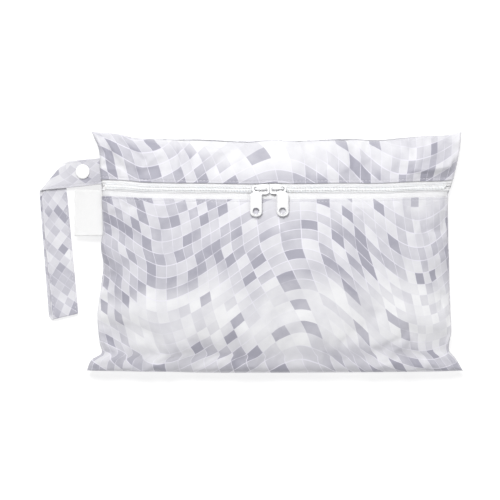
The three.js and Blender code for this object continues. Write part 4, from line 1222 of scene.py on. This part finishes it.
def spun(shape, profile, steps):
    """A turned form round Z, from a profile of radius and height."""
    verts = [shape.verts.new((radius, 0, height)) for radius, height in profile]
    edges = [shape.edges.new(pair) for pair in zip(verts, verts[1:])]
    bmesh.ops.spin(
        shape, geom=verts + edges, cent=(0, 0, 0), axis=(0, 0, 1), angle=2 * math.pi,
        steps=steps, use_merge=True
    )


def settle(shape):
    """Merges doubles and points the faces outwards."""
    bmesh.ops.remove_doubles(shape, verts=shape.verts, dist=0.000004)
    bmesh.ops.recalc_face_normals(shape, faces=shape.faces)


def rounded(piece, width, segments=2):
    """Rounds a hard piece's edges."""
    bevel = piece.modifiers.new("Rounded edges", "BEVEL")
    bevel.width = width
    bevel.segments = segments
    bevel.limit_method = "ANGLE"
    bevel.angle_limit = math.radians(38)
    bevel.harden_normals = True
    return apply_modifiers(piece)


class SliderLevels:
    """Levels of a slider, above the middle of the chain along the surface's normal."""

    def __init__(self, form):
        z = form.zipper
        s = form.slider
        self.channel_top = z.chain_thickness / 2 + z.gap
        self.tape_top = -z.chain_thickness / 2 - z.gap
        self.flange_bottom = self.tape_top + s.clearance
        self.base_top = self.tape_top - z.tape_thickness - s.clearance
        self.plate_top = self.channel_top + s.plate
        self.pull_bottom = self.plate_top + z.gap
        self.pull_top = self.pull_bottom + s.pull_thickness
        self.bridge_bottom = self.pull_top + s.bridge_clearance
        self.tail_half = z.chain_width / 2 + z.gap + s.flange
        self.tail = -s.post_from_tail
        self.nose = s.length - s.post_from_tail


def slider_place(form, side):
    """Where a slider's post stands on the zipper, leaning with the surface. side: -1 left, 1 right."""
    s = form.slider
    post = form.zipper.gap / 2 + s.length - s.post_from_tail
    u = form.share_at(form.zipper.meeting_x + side * post)
    depth = form.pouch.cloth - form.zipper.chain_thickness / 2
    at = form.front(u, form.zip_v, depth)
    step = 0.002
    slope = form.front(u, form.zip_v + step, depth) - form.front(u, form.zip_v - step, depth)
    return Matrix.Translation(at) @ Matrix.Rotation(math.atan2(slope[2], slope[1]), 4, "X")


def slider_outline(form, levels, inset=0.0):
    """Outline of a slider's plates: narrow tail, wide rounded nose."""
    half = levels.tail_half - inset
    wide = form.slider.nose_width / 2 - inset
    tail, nose = levels.tail, levels.nose
    belly = 0.62 * nose
    side = [(tail, half - 0.0004), (tail + 0.0004, half), (0.35 * belly, half)]
    side += outline_between((0.35 * belly, half), (0.6 * belly, wide), (belly, wide), 5)
    side += outline_between((belly, wide), (nose, wide), (nose, 0.4 * wide), 7)
    return [(x, -y) for x, y in side] + side[::-1]


def slider_shape(form):
    """A slider: upper plate with flanges, lower plate, wedge, and the bridge that holds the pull."""
    s = form.slider
    levels = SliderLevels(form)
    shape = bmesh.new()
    outline = slider_outline(form, levels)
    fill_outlines(shape, [outline], levels.channel_top, levels.plate_top)
    inner = slider_outline(form, levels, s.flange)
    count = len(outline)
    for first in range(count - 1):
        middle_y = (outline[first][1] + outline[first + 1][1]) / 2
        if abs(middle_y) < 0.5 * s.nose_width / 2:
            continue
        wall = [outline[first], outline[first + 1], inner[first + 1], inner[first]]
        fill_outlines(shape, [wall], levels.flange_bottom, levels.channel_top + 0.00001)
    fill_outlines(shape, [outline], levels.base_top - s.plate, levels.base_top)
    middle = levels.nose - s.wedge_length / 2 - 0.0006
    wedge = [
        (middle - s.wedge_length / 2, 0), (middle, -s.wedge_width / 2),
        (middle + s.wedge_length / 2, 0), (middle, s.wedge_width / 2),
    ]
    fill_outlines(shape, [wedge], levels.base_top - s.plate / 2, levels.plate_top - s.plate / 2)
    settle(shape)
    return shape, levels


def bridge_shape(form, levels):
    """The bridge over the pull's ring, standing on the upper plate."""
    s = form.slider
    back, front = -s.post_length / 2, s.bridge_reach
    top = levels.bridge_bottom + s.bridge_thickness
    foot = levels.plate_top - s.plate / 2
    inner = front - s.post_length
    arch = BRIDGE_ROUND
    low = levels.bridge_bottom
    side = [(back, foot), (-back, foot), (-back, low), (inner - arch, low)]
    side += outline_between(side[-1], (inner, low), (inner, low - arch), 4)
    side += [(inner, foot), (front, foot), (front, top - 2 * arch)]
    side += outline_between(side[-1], (front, top), (front - 2 * arch, top), 6)
    side += [(back + arch, top)]
    side += outline_between(side[-1], (back, top), (back, top - arch), 5)
    shape = bmesh.new()
    fill_outlines(shape, [side], -s.bridge_width / 2, s.bridge_width / 2)
    bmesh.ops.rotate(shape, verts=shape.verts, matrix=Matrix.Rotation(math.pi / 2, 3, "X"))
    settle(shape)
    return shape


def pull_outline(form, inset=0.0, ring=True):
    """Outline of a pull that hangs along -Y from its ring. Without the ring it is an open line."""
    s = form.slider
    half = s.pull_width / 2 - inset
    neck = s.neck_width / 2 - inset
    tip = -s.pull_reach + inset
    corner = 0.85 * half
    bend = -0.7 * s.shoulder
    side = [(-half, -s.shoulder), (-half, tip + corner)]
    side += cubic_between(side[-1], (-half, tip + 0.4 * corner), (-0.55 * half, tip), (0, tip), 9)
    if not ring:
        return side + [(-x, y) for x, y in side[-2::-1]]
    radius = s.ring_radius
    start = math.asin(neck / radius)
    arc = [start + (math.pi - start) * k / 12 for k in range(13)]
    left = [(-radius * math.sin(angle), -radius * math.cos(angle)) for angle in arc[::-1]]
    left += cubic_between(left[-1], (-neck, bend), (-half, bend), side[0], 7)
    left += side[1:]
    return left + [(-x, y) for x, y in left[-2:0:-1]]


def circle_outline(radius, y, count):
    """Outline of a round hole."""
    turns = [2 * math.pi * k / count for k in range(count)]
    return [(radius * math.cos(turn), y + radius * math.sin(turn)) for turn in turns]


def pull_shape(form, levels):
    """The pull's web with its hole and its ring's eye."""
    s = form.slider
    eye = math.hypot(s.post_length, s.bridge_width) / 2 + s.ring_clearance
    hole_y = -s.pull_reach + s.hole_from_tip
    outlines = [
        pull_outline(form), circle_outline(s.hole_radius, hole_y, 32), circle_outline(eye, 0, 24),
    ]
    shape = bmesh.new()
    fill_outlines(shape, outlines, levels.pull_bottom, levels.pull_top)
    settle(shape)
    return shape


def pull_beads(form, levels):
    """The raised rim round the pull and the collar round its hole."""
    s = form.slider
    radius = s.rim_width / 2
    level = levels.pull_top - 0.00006
    rim = [(x, y, level) for x, y in pull_outline(form, radius + 0.00008, ring=False)]
    shape = tube_mesh("rim", [rim], radius, 3)
    collar = bmesh.new()
    bead = 0.00042
    profile = [
        (s.hole_radius + bead + bead * math.cos(turn), level + bead * math.sin(turn) + 0.00005)
        for turn in [2 * math.pi * k / 10 for k in range(11)]
    ]
    spun(collar, profile, 32)
    bmesh.ops.translate(collar, verts=collar.verts, vec=(0, -s.pull_reach + s.hole_from_tip, 0))
    settle(collar)
    return shape, collar


def joined(first, *others):
    """Several bmeshes in one."""
    for other in others:
        mesh = bpy.data.meshes.new("part")
        other.to_mesh(mesh)
        other.free()
        first.from_mesh(mesh)
        bpy.data.meshes.remove(mesh)
    return first


class StrapForm:
    """Where the strap's ribbon lies. a runs along it from the seam, w across it."""

    def __init__(self, form, scene):
        self.strap = strap = scene.wet_bag_strap
        self.gap = form.zipper.gap
        self.pitch = strap.thickness + strap.gap
        self.along = np.array([-math.cos(strap.fall), -math.sin(strap.fall)])
        self.across = np.array([self.along[1], -self.along[0]])
        self.hanging = np.array([math.sin(strap.hang), -math.cos(strap.hang)])
        normal = self.along - self.hanging
        self.fold_normal = normal / np.linalg.norm(normal)
        self.fold_rate = float(self.along @ self.fold_normal)
        self.fold_slant = -float(self.across @ self.fold_normal) / self.fold_rate
        v = form.side_share(strap.from_bottom)
        self.root = np.array(form.plan(0.0, v))
        self.floor = strap.floor_gap + strap.thickness / 2
        self.lift = float(form.seam_height(0.0, v)) - (self.floor + 2.5 * self.pitch)
        slope = math.atan2(self.lift, strap.slope_length)
        stack = strap.thickness + strap.clasp_thickness + 2 * self.gap
        self.snap_parting = stack / math.cos(slope) - self.pitch

    def radius(self, ply):
        """Bend radius of a ply at the fold across the strap."""
        return (1.5 if ply == 0 else 0.5) * self.pitch

    def ply_offset(self, a):
        """The lower ply sags away under the snap, and rises into a soft loop at the far end."""
        s = self.strap
        flat = s.cap_radius + self.gap
        away = np.abs(a - s.snap_from_seam) - flat
        sag = self.snap_parting * (1 - smooth(away / (s.snap_from_seam - flat - 0.001)))
        loop = s.loop_rise * np.exp(-(((s.length - a) / s.loop_length) ** 2))
        return loop - sag

    def point(self, a, w, ply, side):
        """Points of one ply. side is a share of half its thickness, 1 outside at the fold."""
        s = self.strap
        radius = self.radius(ply)
        highest = self.floor + (3 if ply == 0 else 2) * self.pitch
        past = (a - s.to_fold - w * self.fold_slant) * self.fold_rate
        turn = np.clip(past / radius, 0, math.pi)
        half = side * s.thickness / 2
        straight = np.minimum(past, math.pi * radius) + 2 * np.maximum(0, past - math.pi * radius)
        move = np.where(past <= 0, 0, (radius + half) * np.sin(turn) - straight)
        base = highest - radius + (radius + half) * np.cos(turn)
        lift = self.lift * np.clip(1 - a / s.slope_length, 0, 1)
        slide = 0.0
        if ply == 1:
            lift = lift + self.ply_offset(a)
            hung = smooth((past - math.pi * radius) / 0.005)
            slide = s.ply_slide * hung * (1 - 0.95 * (a - s.to_fold) / (s.length - s.to_fold))
        x = self.root[0] + a * self.along[0] + w * self.across[0] + move * self.fold_normal[0] - slide
        y = self.root[1] + a * self.along[1] + w * self.across[1] + move * self.fold_normal[1]
        return np.stack([x, y, base + lift], axis=-1)

    def stations(self, ply):
        """Stations along a ply, and how much each row slants to lie along the fold."""
        s = self.strap
        reach = s.width / 2 + 0.0015
        last = s.to_fold + math.pi * self.radius(ply) / self.fold_rate
        a = np.concatenate([
            np.linspace(-s.tuck, s.to_fold - reach, 40)[:-1],
            np.linspace(s.to_fold - reach, s.to_fold, 14)[:-1],
            np.linspace(s.to_fold, last, 15)[:-1],
            np.linspace(last, last + reach, 14)[:-1],
            np.linspace(last + reach, s.length, 90),
        ])
        away = np.where(a < s.to_fold, s.to_fold - a, np.maximum(0, a - last))
        at_fold = self.fold_slant * np.clip(1 - away / reach, 0, 1)
        return a, at_fold - s.end_slant * np.clip(1 - (s.length - a) / (2 * reach), 0, 1)

    def loop_points(self, w, side):
        """Points round the far loop, from ply 0 to ply 1."""
        s = self.strap
        low = self.point(s.length - s.end_slant * w, w, 0, 0)
        high = self.point(s.length - s.end_slant * w, w, 1, 0)
        radius = (high[:, 2] - low[:, 2]) / 2
        rows = []
        for turn in np.linspace(0, math.pi, 13)[1:-1]:
            reach = (radius + side * s.thickness / 2) * math.sin(turn)
            z = low[:, 2] + radius - (radius + side * s.thickness / 2) * math.cos(turn)
            plan = low[:, :2] + (high - low)[:, :2] * (0.5 - 0.5 * math.cos(turn))
            plan = plan + reach[:, None] * self.hanging
            rows.append(np.column_stack([plan, z]))
        return np.array(rows)

    def round_rows(self, w, side):
        """Rows over ply 0, round the far loop and back over ply 1, and the length at each row."""
        first, slant = self.stations(0)
        rows = [self.point(first[:, None] + w * slant[:, None], w + 0 * first[:, None], 0, side)]
        rows.append(self.loop_points(w, side))
        second, slant = self.stations(1)
        second, slant = second[::-1], slant[::-1]
        rows.append(self.point(second[:, None] + w * slant[:, None], w + 0 * second[:, None], 1, -side))
        spare = math.pi * 0.0012
        length = self.strap.length
        travel = np.concatenate([
            first, length + spare * np.linspace(0, 1, 13)[1:-1], 2 * length + spare - second,
        ])
        return np.concatenate(rows), travel


def strap_section(strap):
    """Places across the strap's flattened tube: w, share of half its thickness, and flat width."""
    half = strap.width / 2
    edge = strap.thickness / 2
    flat_half = half - edge
    stitch = half - strap.stitch_inset
    near = np.array([-0.0012, -0.0006, -0.0003, 0, 0.0003, 0.0006])
    inner = np.linspace(-(stitch - 0.002), stitch - 0.002, 11)
    top_w = np.concatenate([[-flat_half], -stitch - near[::-1], inner, stitch + near, [flat_half]])
    sunk = 0.3 * np.exp(-(((np.abs(top_w) - stitch) / 0.0005) ** 2))
    turns = np.linspace(0, math.pi, 7)[1:-1]
    edge_w = flat_half + edge * np.sin(turns)
    edge_side = np.cos(turns)
    w = np.concatenate([top_w, edge_w, top_w[::-1], -edge_w])
    side = np.concatenate([1 - sunk, edge_side, sunk[::-1] - 1, -edge_side])
    steps = np.hypot(np.diff(w), np.diff(side) * edge)
    flat = np.concatenate([[0], np.cumsum(steps)])
    return np.append(w, w[0]), np.append(side, side[0]), np.append(flat, flat[-1] + 0.0003)


class WETBAG_OT_settle(bpy.types.Operator):
    """Lets the loose cloth of the pouch buckle, by simulation, before its pieces are made"""

    bl_idname = "wetbag.settle"
    bl_label = "Settle the cloth"

    def execute(self, context):
        form = PouchForm(context.scene)
        columns = crowded(100, 0.3)
        rows = crowded(68, 0.3)
        across, up = np.meshgrid(columns, rows)
        edge = np.minimum(np.minimum(across, 1 - across), np.minimum(up, 1 - up)) < 0.001
        zip_held = np.abs((up - form.zip_v) * form.pouch.height) < 0.5 * form.zipper.chain_width
        front = form.front(across, up) + form.soft_relief(across, up)[..., None] * np.array([0, 0, 1])
        self.keep(form, "front", columns, rows, front, edge | zip_held, 1.0)
        back = form.back(across[:, ::-1], up)
        self.keep(form, "back", columns, rows, back, edge[:, ::-1], 0.4)
        return {"FINISHED"}

    def keep(self, form, which, columns, rows, points, held, pressure):
        """Runs one sheet and keeps what is left of its movement, with a soft limit."""
        shift = without_swelling(buckled(f"{which}_trial", points, held.astype(float), pressure), 60)
        if which == "back":
            shift = shift[:, ::-1]
        size = np.linalg.norm(shift, axis=-1, keepdims=True)
        limit = form.pouch.buckle
        SETTLED[which] = (columns, rows, shift / (1 + size / limit))


class WETBAG_OT_front(bpy.types.Operator):
    """Makes the two front panels of cloth, hemmed beside the zipper"""

    bl_idname = "wetbag.front"
    bl_label = "Front cloth"

    def execute(self, context):
        form = PouchForm(context.scene)
        look = context.scene.wet_bag_look
        p = form.pouch
        finishes = [finish_named("print_cloth", look), finish_named("laminate", look)]
        columns = crowded(230, 0.55)
        jobs = (
            ("front_lower_cloth", "front_lower_panel", -1, 86, 0.156),
            ("front_upper_cloth", "front_upper_panel", 1, 34, 0.052),
        )
        for name, node, side, rows, height in jobs:
            points, flat = front_panel(form, side, columns, rows)
            if side > 0:
                flat = flat + np.array([0.02, 0.3587])
            cloth = cloth_piece(
                name, points, flat, p.ply, finishes, replaced=(node,), slot="print_fabric"
            )
            stitched = self.stitch_line(form, side, look)
        return {"FINISHED"}

    def stitch_line(self, form, side, look):
        """The row of stitches that holds one panel to its tape."""
        z = form.zipper
        edge = z.upper_edge if side > 0 else z.lower_edge
        u = np.linspace(0.006, 0.994, 700)
        distance = np.full_like(u, side * (edge + z.stitch_inset))

        def surface(share, at):
            return form.zip_strip(share, at, 0.00016)

        normals = rise_of(surface, u, distance)
        name = "stitches_upper" if side > 0 else "stitches_lower"
        return stitches(
            name, surface(u, distance), normals, z.stitch_pitch, 0.8 * z.stitch_pitch, z.thread,
            [finish_named("sewing_thread", look)], slot="print_fabric"
        )


class WETBAG_OT_back(bpy.types.Operator):
    """Makes the back of the pouch, which lies on the floor"""

    bl_idname = "wetbag.back"
    bl_label = "Back cloth"

    def execute(self, context):
        form = PouchForm(context.scene)
        look = context.scene.wet_bag_look
        finishes = [finish_named("print_cloth", look), finish_named("laminate", look)]
        points, flat = back_panel(form, crowded(170, 0.7), 120)
        cloth = cloth_piece(
            "back_cloth", points, flat, form.pouch.ply, finishes,
            replaced=("back_panel",), slot="print_fabric"
        )
        return {"FINISHED"}


class WETBAG_OT_zipper(bpy.types.Operator):
    """Makes the woven tapes and the closed coils of the zipper"""

    bl_idname = "wetbag.zipper"
    bl_label = "Zipper tapes and coils"

    def execute(self, context):
        form = PouchForm(context.scene)
        look = context.scene.wet_bag_look
        z = form.zipper
        s = form.slider
        weave = finish_named("zipper_weave", look)
        columns = np.unique(np.concatenate([
            crowded(240, 0.5), np.linspace(form.share_at(-0.018), form.share_at(0.008), 90),
        ]))
        for side, word in ((-1, "lower"), (1, "upper")):
            points, flat = tape_strip(form, side, columns)
            tape = cloth_piece(
                f"tape_{word}", points, flat, z.tape_thickness, [weave],
                replaced=(f"zipper_tape_{word}",), slot="zipper_tape"
            )
        nylon = finish_named("nylon_coil", look)
        end_share = 0.012
        tail = z.gap / 2 + s.length - 0.0025
        ends = (
            ("left", form.plan(end_share, form.zip_v)[0], z.meeting_x - tail),
            ("right", z.meeting_x + tail, form.plan(1 - end_share, form.zip_v)[0]),
        )
        for word, start, end in ends:
            paths = [coil_path(form, side, start + 0.0006, end - z.coil_pitch) for side in (1, -1)]
            shape = tube_mesh("coil", paths, z.coil_wire / 2, 1)
            settle(shape)
            finish_piece(
                f"coil_{word}", shape, [nylon], replaced=(f"zipper_coil_{word}",), slot="zipper_coil"
            )
        return {"FINISHED"}


class WETBAG_OT_sliders(bpy.types.Operator):
    """Makes the two sliders and the pulls that swing on them"""

    bl_idname = "wetbag.sliders"
    bl_label = "Sliders and pulls"

    def execute(self, context):
        form = PouchForm(context.scene)
        enamel = finish_named("white_enamel", context.scene.wet_bag_look)
        for side, word in ((-1, "left"), (1, "right")):
            place = slider_place(form, side)
            turned = place @ Matrix.Rotation(0 if side < 0 else math.pi, 4, "Z")
            shape, levels = slider_shape(form)
            shape = joined(shape, bridge_shape(form, levels))
            shape.transform(turned)
            body = finish_piece(
                f"zip_slider_{word}", shape, [enamel], replaced=(f"slider_{word}",), slot="slider_enamel"
            )
            rounded(body, 0.00022)
            web = pull_shape(form, levels)
            web.transform(place)
            pull = finish_piece(
                f"zip_pull_{word}", web, [enamel], body=f"{word}_pull", replaced=(f"pull_{word}",),
                slot="slider_enamel"
            )
            rounded(pull, 0.00025)
            beads = joined(*pull_beads(form, levels))
            beads.transform(place)
            finish_piece(
                f"pull_rim_{word}", beads, [enamel], body=f"{word}_pull", slot="slider_enamel"
            )
        return {"FINISHED"}


class WETBAG_OT_strap(bpy.types.Operator):
    """Makes the strap, one flat tube of cloth folded across itself and looped at its far end"""

    bl_idname = "wetbag.strap"
    bl_label = "Strap"

    def execute(self, context):
        form = PouchForm(context.scene)
        look = context.scene.wet_bag_look
        ribbon = StrapForm(form, context.scene)
        strap = ribbon.strap
        w, side, flat_width = strap_section(strap)
        points, travel = ribbon.round_rows(w, side)
        sway = 0.00018 * ripples(travel, 0.021, 3)[:, None] * np.ones_like(w)
        points[..., 2] = np.maximum(points[..., 2] + sway, 0.00005)
        lengthways = np.broadcast_to(travel[:, None], points.shape[:2])
        widthways = np.broadcast_to(flat_width, points.shape[:2])
        bias = math.sqrt(0.5)
        flat = bias * np.stack([widthways - lengthways, widthways + lengthways], axis=-1)
        flat = flat + np.array([0.065, 0.8957])
        shape = bmesh.new()
        add_cloth_grid(shape, points[:, ::-1], flat[:, ::-1])
        bmesh.ops.remove_doubles(shape, verts=shape.verts, dist=0.000002)
        cloth = finish_piece(
            "strap_ribbon", shape, [finish_named("print_strap", look)],
            replaced=("strap",), slot="print_fabric"
        )
        for edge in (-1, 1):
            self.stitch_line(form, ribbon, edge, look)
        return {"FINISHED"}

    def stitch_line(self, form, ribbon, edge, look):
        """Stitches beside one edge of the strap, over both plies."""
        strap = ribbon.strap
        z = form.zipper
        w = edge * (strap.width / 2 - strap.stitch_inset)
        across = np.array([w, w + 0.0005])
        points, travel = ribbon.round_rows(across, np.array([0.72, 0.72]))
        points[..., 2] += 0.00018 * ripples(travel, 0.021, 3)[:, None]
        path = points[:, 0]
        ahead = np.gradient(path, axis=0)
        normals = np.cross(points[:, 1] - path, ahead)
        name = "strap_stitches_low" if edge > 0 else "strap_stitches_high"
        kept = travel > 0.002
        return stitches(
            name, path[kept], normals[kept], z.stitch_pitch, 0.8 * z.stitch_pitch, z.thread,
            [finish_named("sewing_thread", look)], slot="print_fabric"
        )


class WETBAG_OT_snap(bpy.types.Operator):
    """Makes the snap: its cap on the strap, and the socket, stud and lower cap"""

    bl_idname = "wetbag.snap"
    bl_label = "Snap"

    def execute(self, context):
        form = PouchForm(context.scene)
        resin = finish_named("snap_resin", context.scene.wet_bag_look)
        ribbon = StrapForm(form, context.scene)
        place = self.place(ribbon)
        s = ribbon.strap
        gap = form.zipper.gap
        crown = (
            (0, 0), (0.9, 0), (0.97, 0.06), (0.995, 0.16), (1, 0.3), (0.985, 0.44), (0.93, 0.58),
            (0.84, 0.72), (0.7, 0.84), (0.6, 0.885), (0.55, 0.875), (0.5, 0.9), (0.3, 0.97), (0, 1),
        )
        cap = bmesh.new()
        spun(cap, [(s.cap_radius * r, gap + s.cap_thickness * h) for r, h in crown], 64)
        settle(cap)
        cap.transform(place)
        finish_piece("snap_button", cap, [resin], replaced=("snap_cap",), slot="snap_resin")
        between = -s.thickness - gap
        socket = between - s.clasp_thickness
        lower = socket - 2 * gap - s.thickness
        profile = [(s.cap_radius * r, lower - s.cap_thickness * h) for r, h in crown[:0:-1]]
        profile += [
            (s.post_radius, lower), (s.post_radius, socket), (0.94 * s.clasp_radius, socket),
            (s.clasp_radius, socket + 0.0003), (s.clasp_radius, socket + 0.00095),
            (0.9 * s.clasp_radius, socket + 0.0011), (0.9 * s.clasp_radius, socket + 0.0013),
            (s.clasp_radius, socket + 0.00145), (s.clasp_radius, between - 0.0002),
            (0.95 * s.clasp_radius, between), (s.post_radius, between),
            (s.post_radius, -0.0001), (0, -0.0001),
        ]
        clasp = bmesh.new()
        spun(clasp, profile, 48)
        settle(clasp)
        clasp.transform(place)
        finish_piece("snap_socket", clasp, [resin], replaced=("snap_clasp",), slot="snap_resin")
        return {"FINISHED"}

    def place(self, ribbon):
        """Square to the sloping strap, at the snap."""
        s = ribbon.strap
        at = Vector(ribbon.point(s.snap_from_seam, s.snap_above, 0, 1))
        back = Vector(ribbon.point(s.snap_from_seam - 0.001, s.snap_above, 0, 1)) - at
        normal = back.normalized().cross(Vector((*ribbon.across, 0))).normalized()
        turn = Vector((0, 0, 1)).rotation_difference(normal).to_matrix().to_4x4()
        return Matrix.Translation(at) @ turn


class WETBAG_OT_label(bpy.types.Operator):
    """Makes the bare side label, folded once, with both ends in the seam"""

    bl_idname = "wetbag.label"
    bl_label = "Side label"

    def execute(self, context):
        form = PouchForm(context.scene)
        look = context.scene.wet_bag_look
        label = context.scene.wet_bag_label
        v = form.side_share(label.from_bottom)
        root_x, root_y = form.plan(0.0, v)
        half = label.thickness / 2
        reach = np.linspace(-label.tuck, label.reach - half, 34)
        turn = np.linspace(0, math.pi, 11)
        along = np.concatenate([reach[:-1], label.reach - half + half * np.sin(turn), reach[-2::-1]])
        ply = np.full(len(reach) - 1, half)
        level = np.concatenate([ply, half * np.cos(turn), -ply])
        up = np.linspace(-0.5, 0.5, 41)
        edge = (0.5 - np.abs(up)) * label.height
        border = LABEL_BORDER_RISE * (1 - smooth((edge - LABEL_BORDER_WIDTH) / LABEL_BORDER_FADE))
        top = np.sign(level)[:, None] * border[None, :] * (np.abs(level) > 0.6 * half)[:, None]
        share = np.clip(along / label.reach, 0, 1)[:, None]
        curl = LABEL_CURL * share * (2 * up[None, :]) ** 2
        curl = curl + LABEL_TWIST * np.sin(5 * up[None, :] + 3 * share) * share
        seam = float(form.seam_height(0.0, v))
        x = root_x - along[:, None] + 0 * up
        y = root_y + up * label.height + 0 * along[:, None]
        z = seam - label.droop * share**2 + level[:, None] + top + curl
        travel = np.concatenate([[0], np.cumsum(np.hypot(np.diff(along), np.diff(level)))])
        flat = np.stack([travel[:, None] + 0 * up, up * label.height + 0 * along[:, None]], axis=-1)
        cloth = cloth_piece(
            "label_satin", np.stack([x, y, z], axis=-1), flat, label.ply,
            [finish_named("label_weave", look)], replaced=("side_label",), slot="label_satin"
        )
        return {"FINISHED"}


class WETBAG_OT_stage(bpy.types.Operator):
    """Makes the floor, the light and the camera"""

    bl_idname = "wetbag.stage"
    bl_label = "Floor, light and camera"

    def execute(self, context):
        setup = context.scene.wet_bag_stage
        self.floor(setup)
        self.light(context.scene, setup)
        self.camera(context.scene, setup)
        return {"FINISHED"}

    def floor(self, setup):
        """A plain pale floor, lit faintly from within as a light table is."""
        shape = bmesh.new()
        bmesh.ops.create_grid(shape, x_segments=2, y_segments=2, size=setup.floor_size / 2)
        mesh = bpy.data.meshes.new("floor")
        shape.to_mesh(mesh)
        shape.free()
        material, _, shader = new_finish("floor_paper", {"Roughness": 0.9, "Specular IOR Level": 0.1})
        shader.inputs["Base Color"].default_value = opaque(setup.floor)
        shader.inputs["Emission Color"].default_value = (1, 1, 1, 1)
        shader.inputs["Emission Strength"].default_value = setup.floor_glow
        mesh.materials.append(material)
        floor = bpy.data.objects.new("floor", mesh)
        bpy.context.scene.collection.objects.link(floor)

    def light(self, scene, setup):
        """Even sky and a large soft light beyond the top, with a weaker one opposite."""
        world = bpy.data.worlds.new("studio")
        world.use_nodes = True
        world.node_tree.nodes["Background"].inputs[0].default_value = (1, 1, 1, 1)
        world.node_tree.nodes["Background"].inputs[1].default_value = setup.sky_strength
        scene.world = world
        lamps = (
            ("key_light", (-0.2, 0.75, 1.25), 0.7, setup.key_power),
            ("fill_light", (0.8, -0.5, 1.1), 0.9, 0.12 * setup.key_power),
        )
        for name, place, size, power in lamps:
            lamp = bpy.data.lights.new(name, "AREA")
            lamp.shape = "DISK"
            lamp.size = size
            lamp.energy = power
            holder = bpy.data.objects.new(name, lamp)
            holder.location = place
            holder.rotation_euler = (-Vector(place)).to_track_quat("-Z", "Y").to_euler()
            scene.collection.objects.link(holder)
        scene.view_settings.view_transform = "Standard"

    def camera(self, scene, setup):
        """Straight down, with the photograph's top along +Y."""
        lens = bpy.data.cameras.new("camera")
        lens.sensor_width = 36
        lens.sensor_fit = "HORIZONTAL"
        lens.lens = 36 * setup.camera_height / setup.view_width
        lens.clip_start = 0.05
        lens.clip_end = 20
        camera = bpy.data.objects.new("camera", lens)
        seam = scene.wet_bag_pouch.seam_height
        camera.location = (setup.view_x, setup.view_y, seam + setup.camera_height)
        scene.collection.objects.link(camera)
        scene.camera = camera


class WETBAG_PT_panel(bpy.types.Panel):
    """Sizes, colours and pieces of the wet bag"""

    bl_label = "Wet bag"
    bl_space_type = "VIEW_3D"
    bl_region_type = "UI"
    bl_category = "Wet bag"

    def draw(self, context):
        layout = self.layout
        for name in GROUPS:
            group = getattr(context.scene, name)
            box = layout.box()
            box.label(text=type(group).__doc__)
            for prop in type(group).__annotations__:
                box.prop(group, prop)
        for operator in PIECES:
            layout.operator(operator.bl_idname)


PIECES = (
    WETBAG_OT_stage, WETBAG_OT_settle, WETBAG_OT_front, WETBAG_OT_back, WETBAG_OT_zipper,
    WETBAG_OT_sliders, WETBAG_OT_strap, WETBAG_OT_snap, WETBAG_OT_label,
)
GROUPS = {
    "wet_bag_pouch": PouchSizes, "wet_bag_zipper": ZipperSizes, "wet_bag_slider": SliderSizes,
    "wet_bag_strap": StrapSizes, "wet_bag_label": LabelSizes, "wet_bag_look": ClothLook,
    "wet_bag_stage": StageSetup,
}


def register():
    """Registers the sizes, the operators and the panel."""
    for item in (*GROUPS.values(), *PIECES, WETBAG_PT_panel):
        bpy.utils.register_class(item)
    for name, group in GROUPS.items():
        setattr(bpy.types.Scene, name, bpy.props.PointerProperty(type=group))


def unregister():
    """Removes what register added."""
    for name in GROUPS:
        delattr(bpy.types.Scene, name)
    for item in (WETBAG_PT_panel, *reversed(PIECES), *GROUPS.values()):
        bpy.utils.unregister_class(item)


def main():
    """Builds the stage and every piece."""
    register()
    bpy.ops.wetbag.stage()
    bpy.ops.wetbag.settle()
    bpy.ops.wetbag.front()
    bpy.ops.wetbag.back()
    bpy.ops.wetbag.zipper()
    bpy.ops.wetbag.sliders()
    bpy.ops.wetbag.strap()
    bpy.ops.wetbag.snap()
    bpy.ops.wetbag.label()


if __name__ == "__main__":
    main()
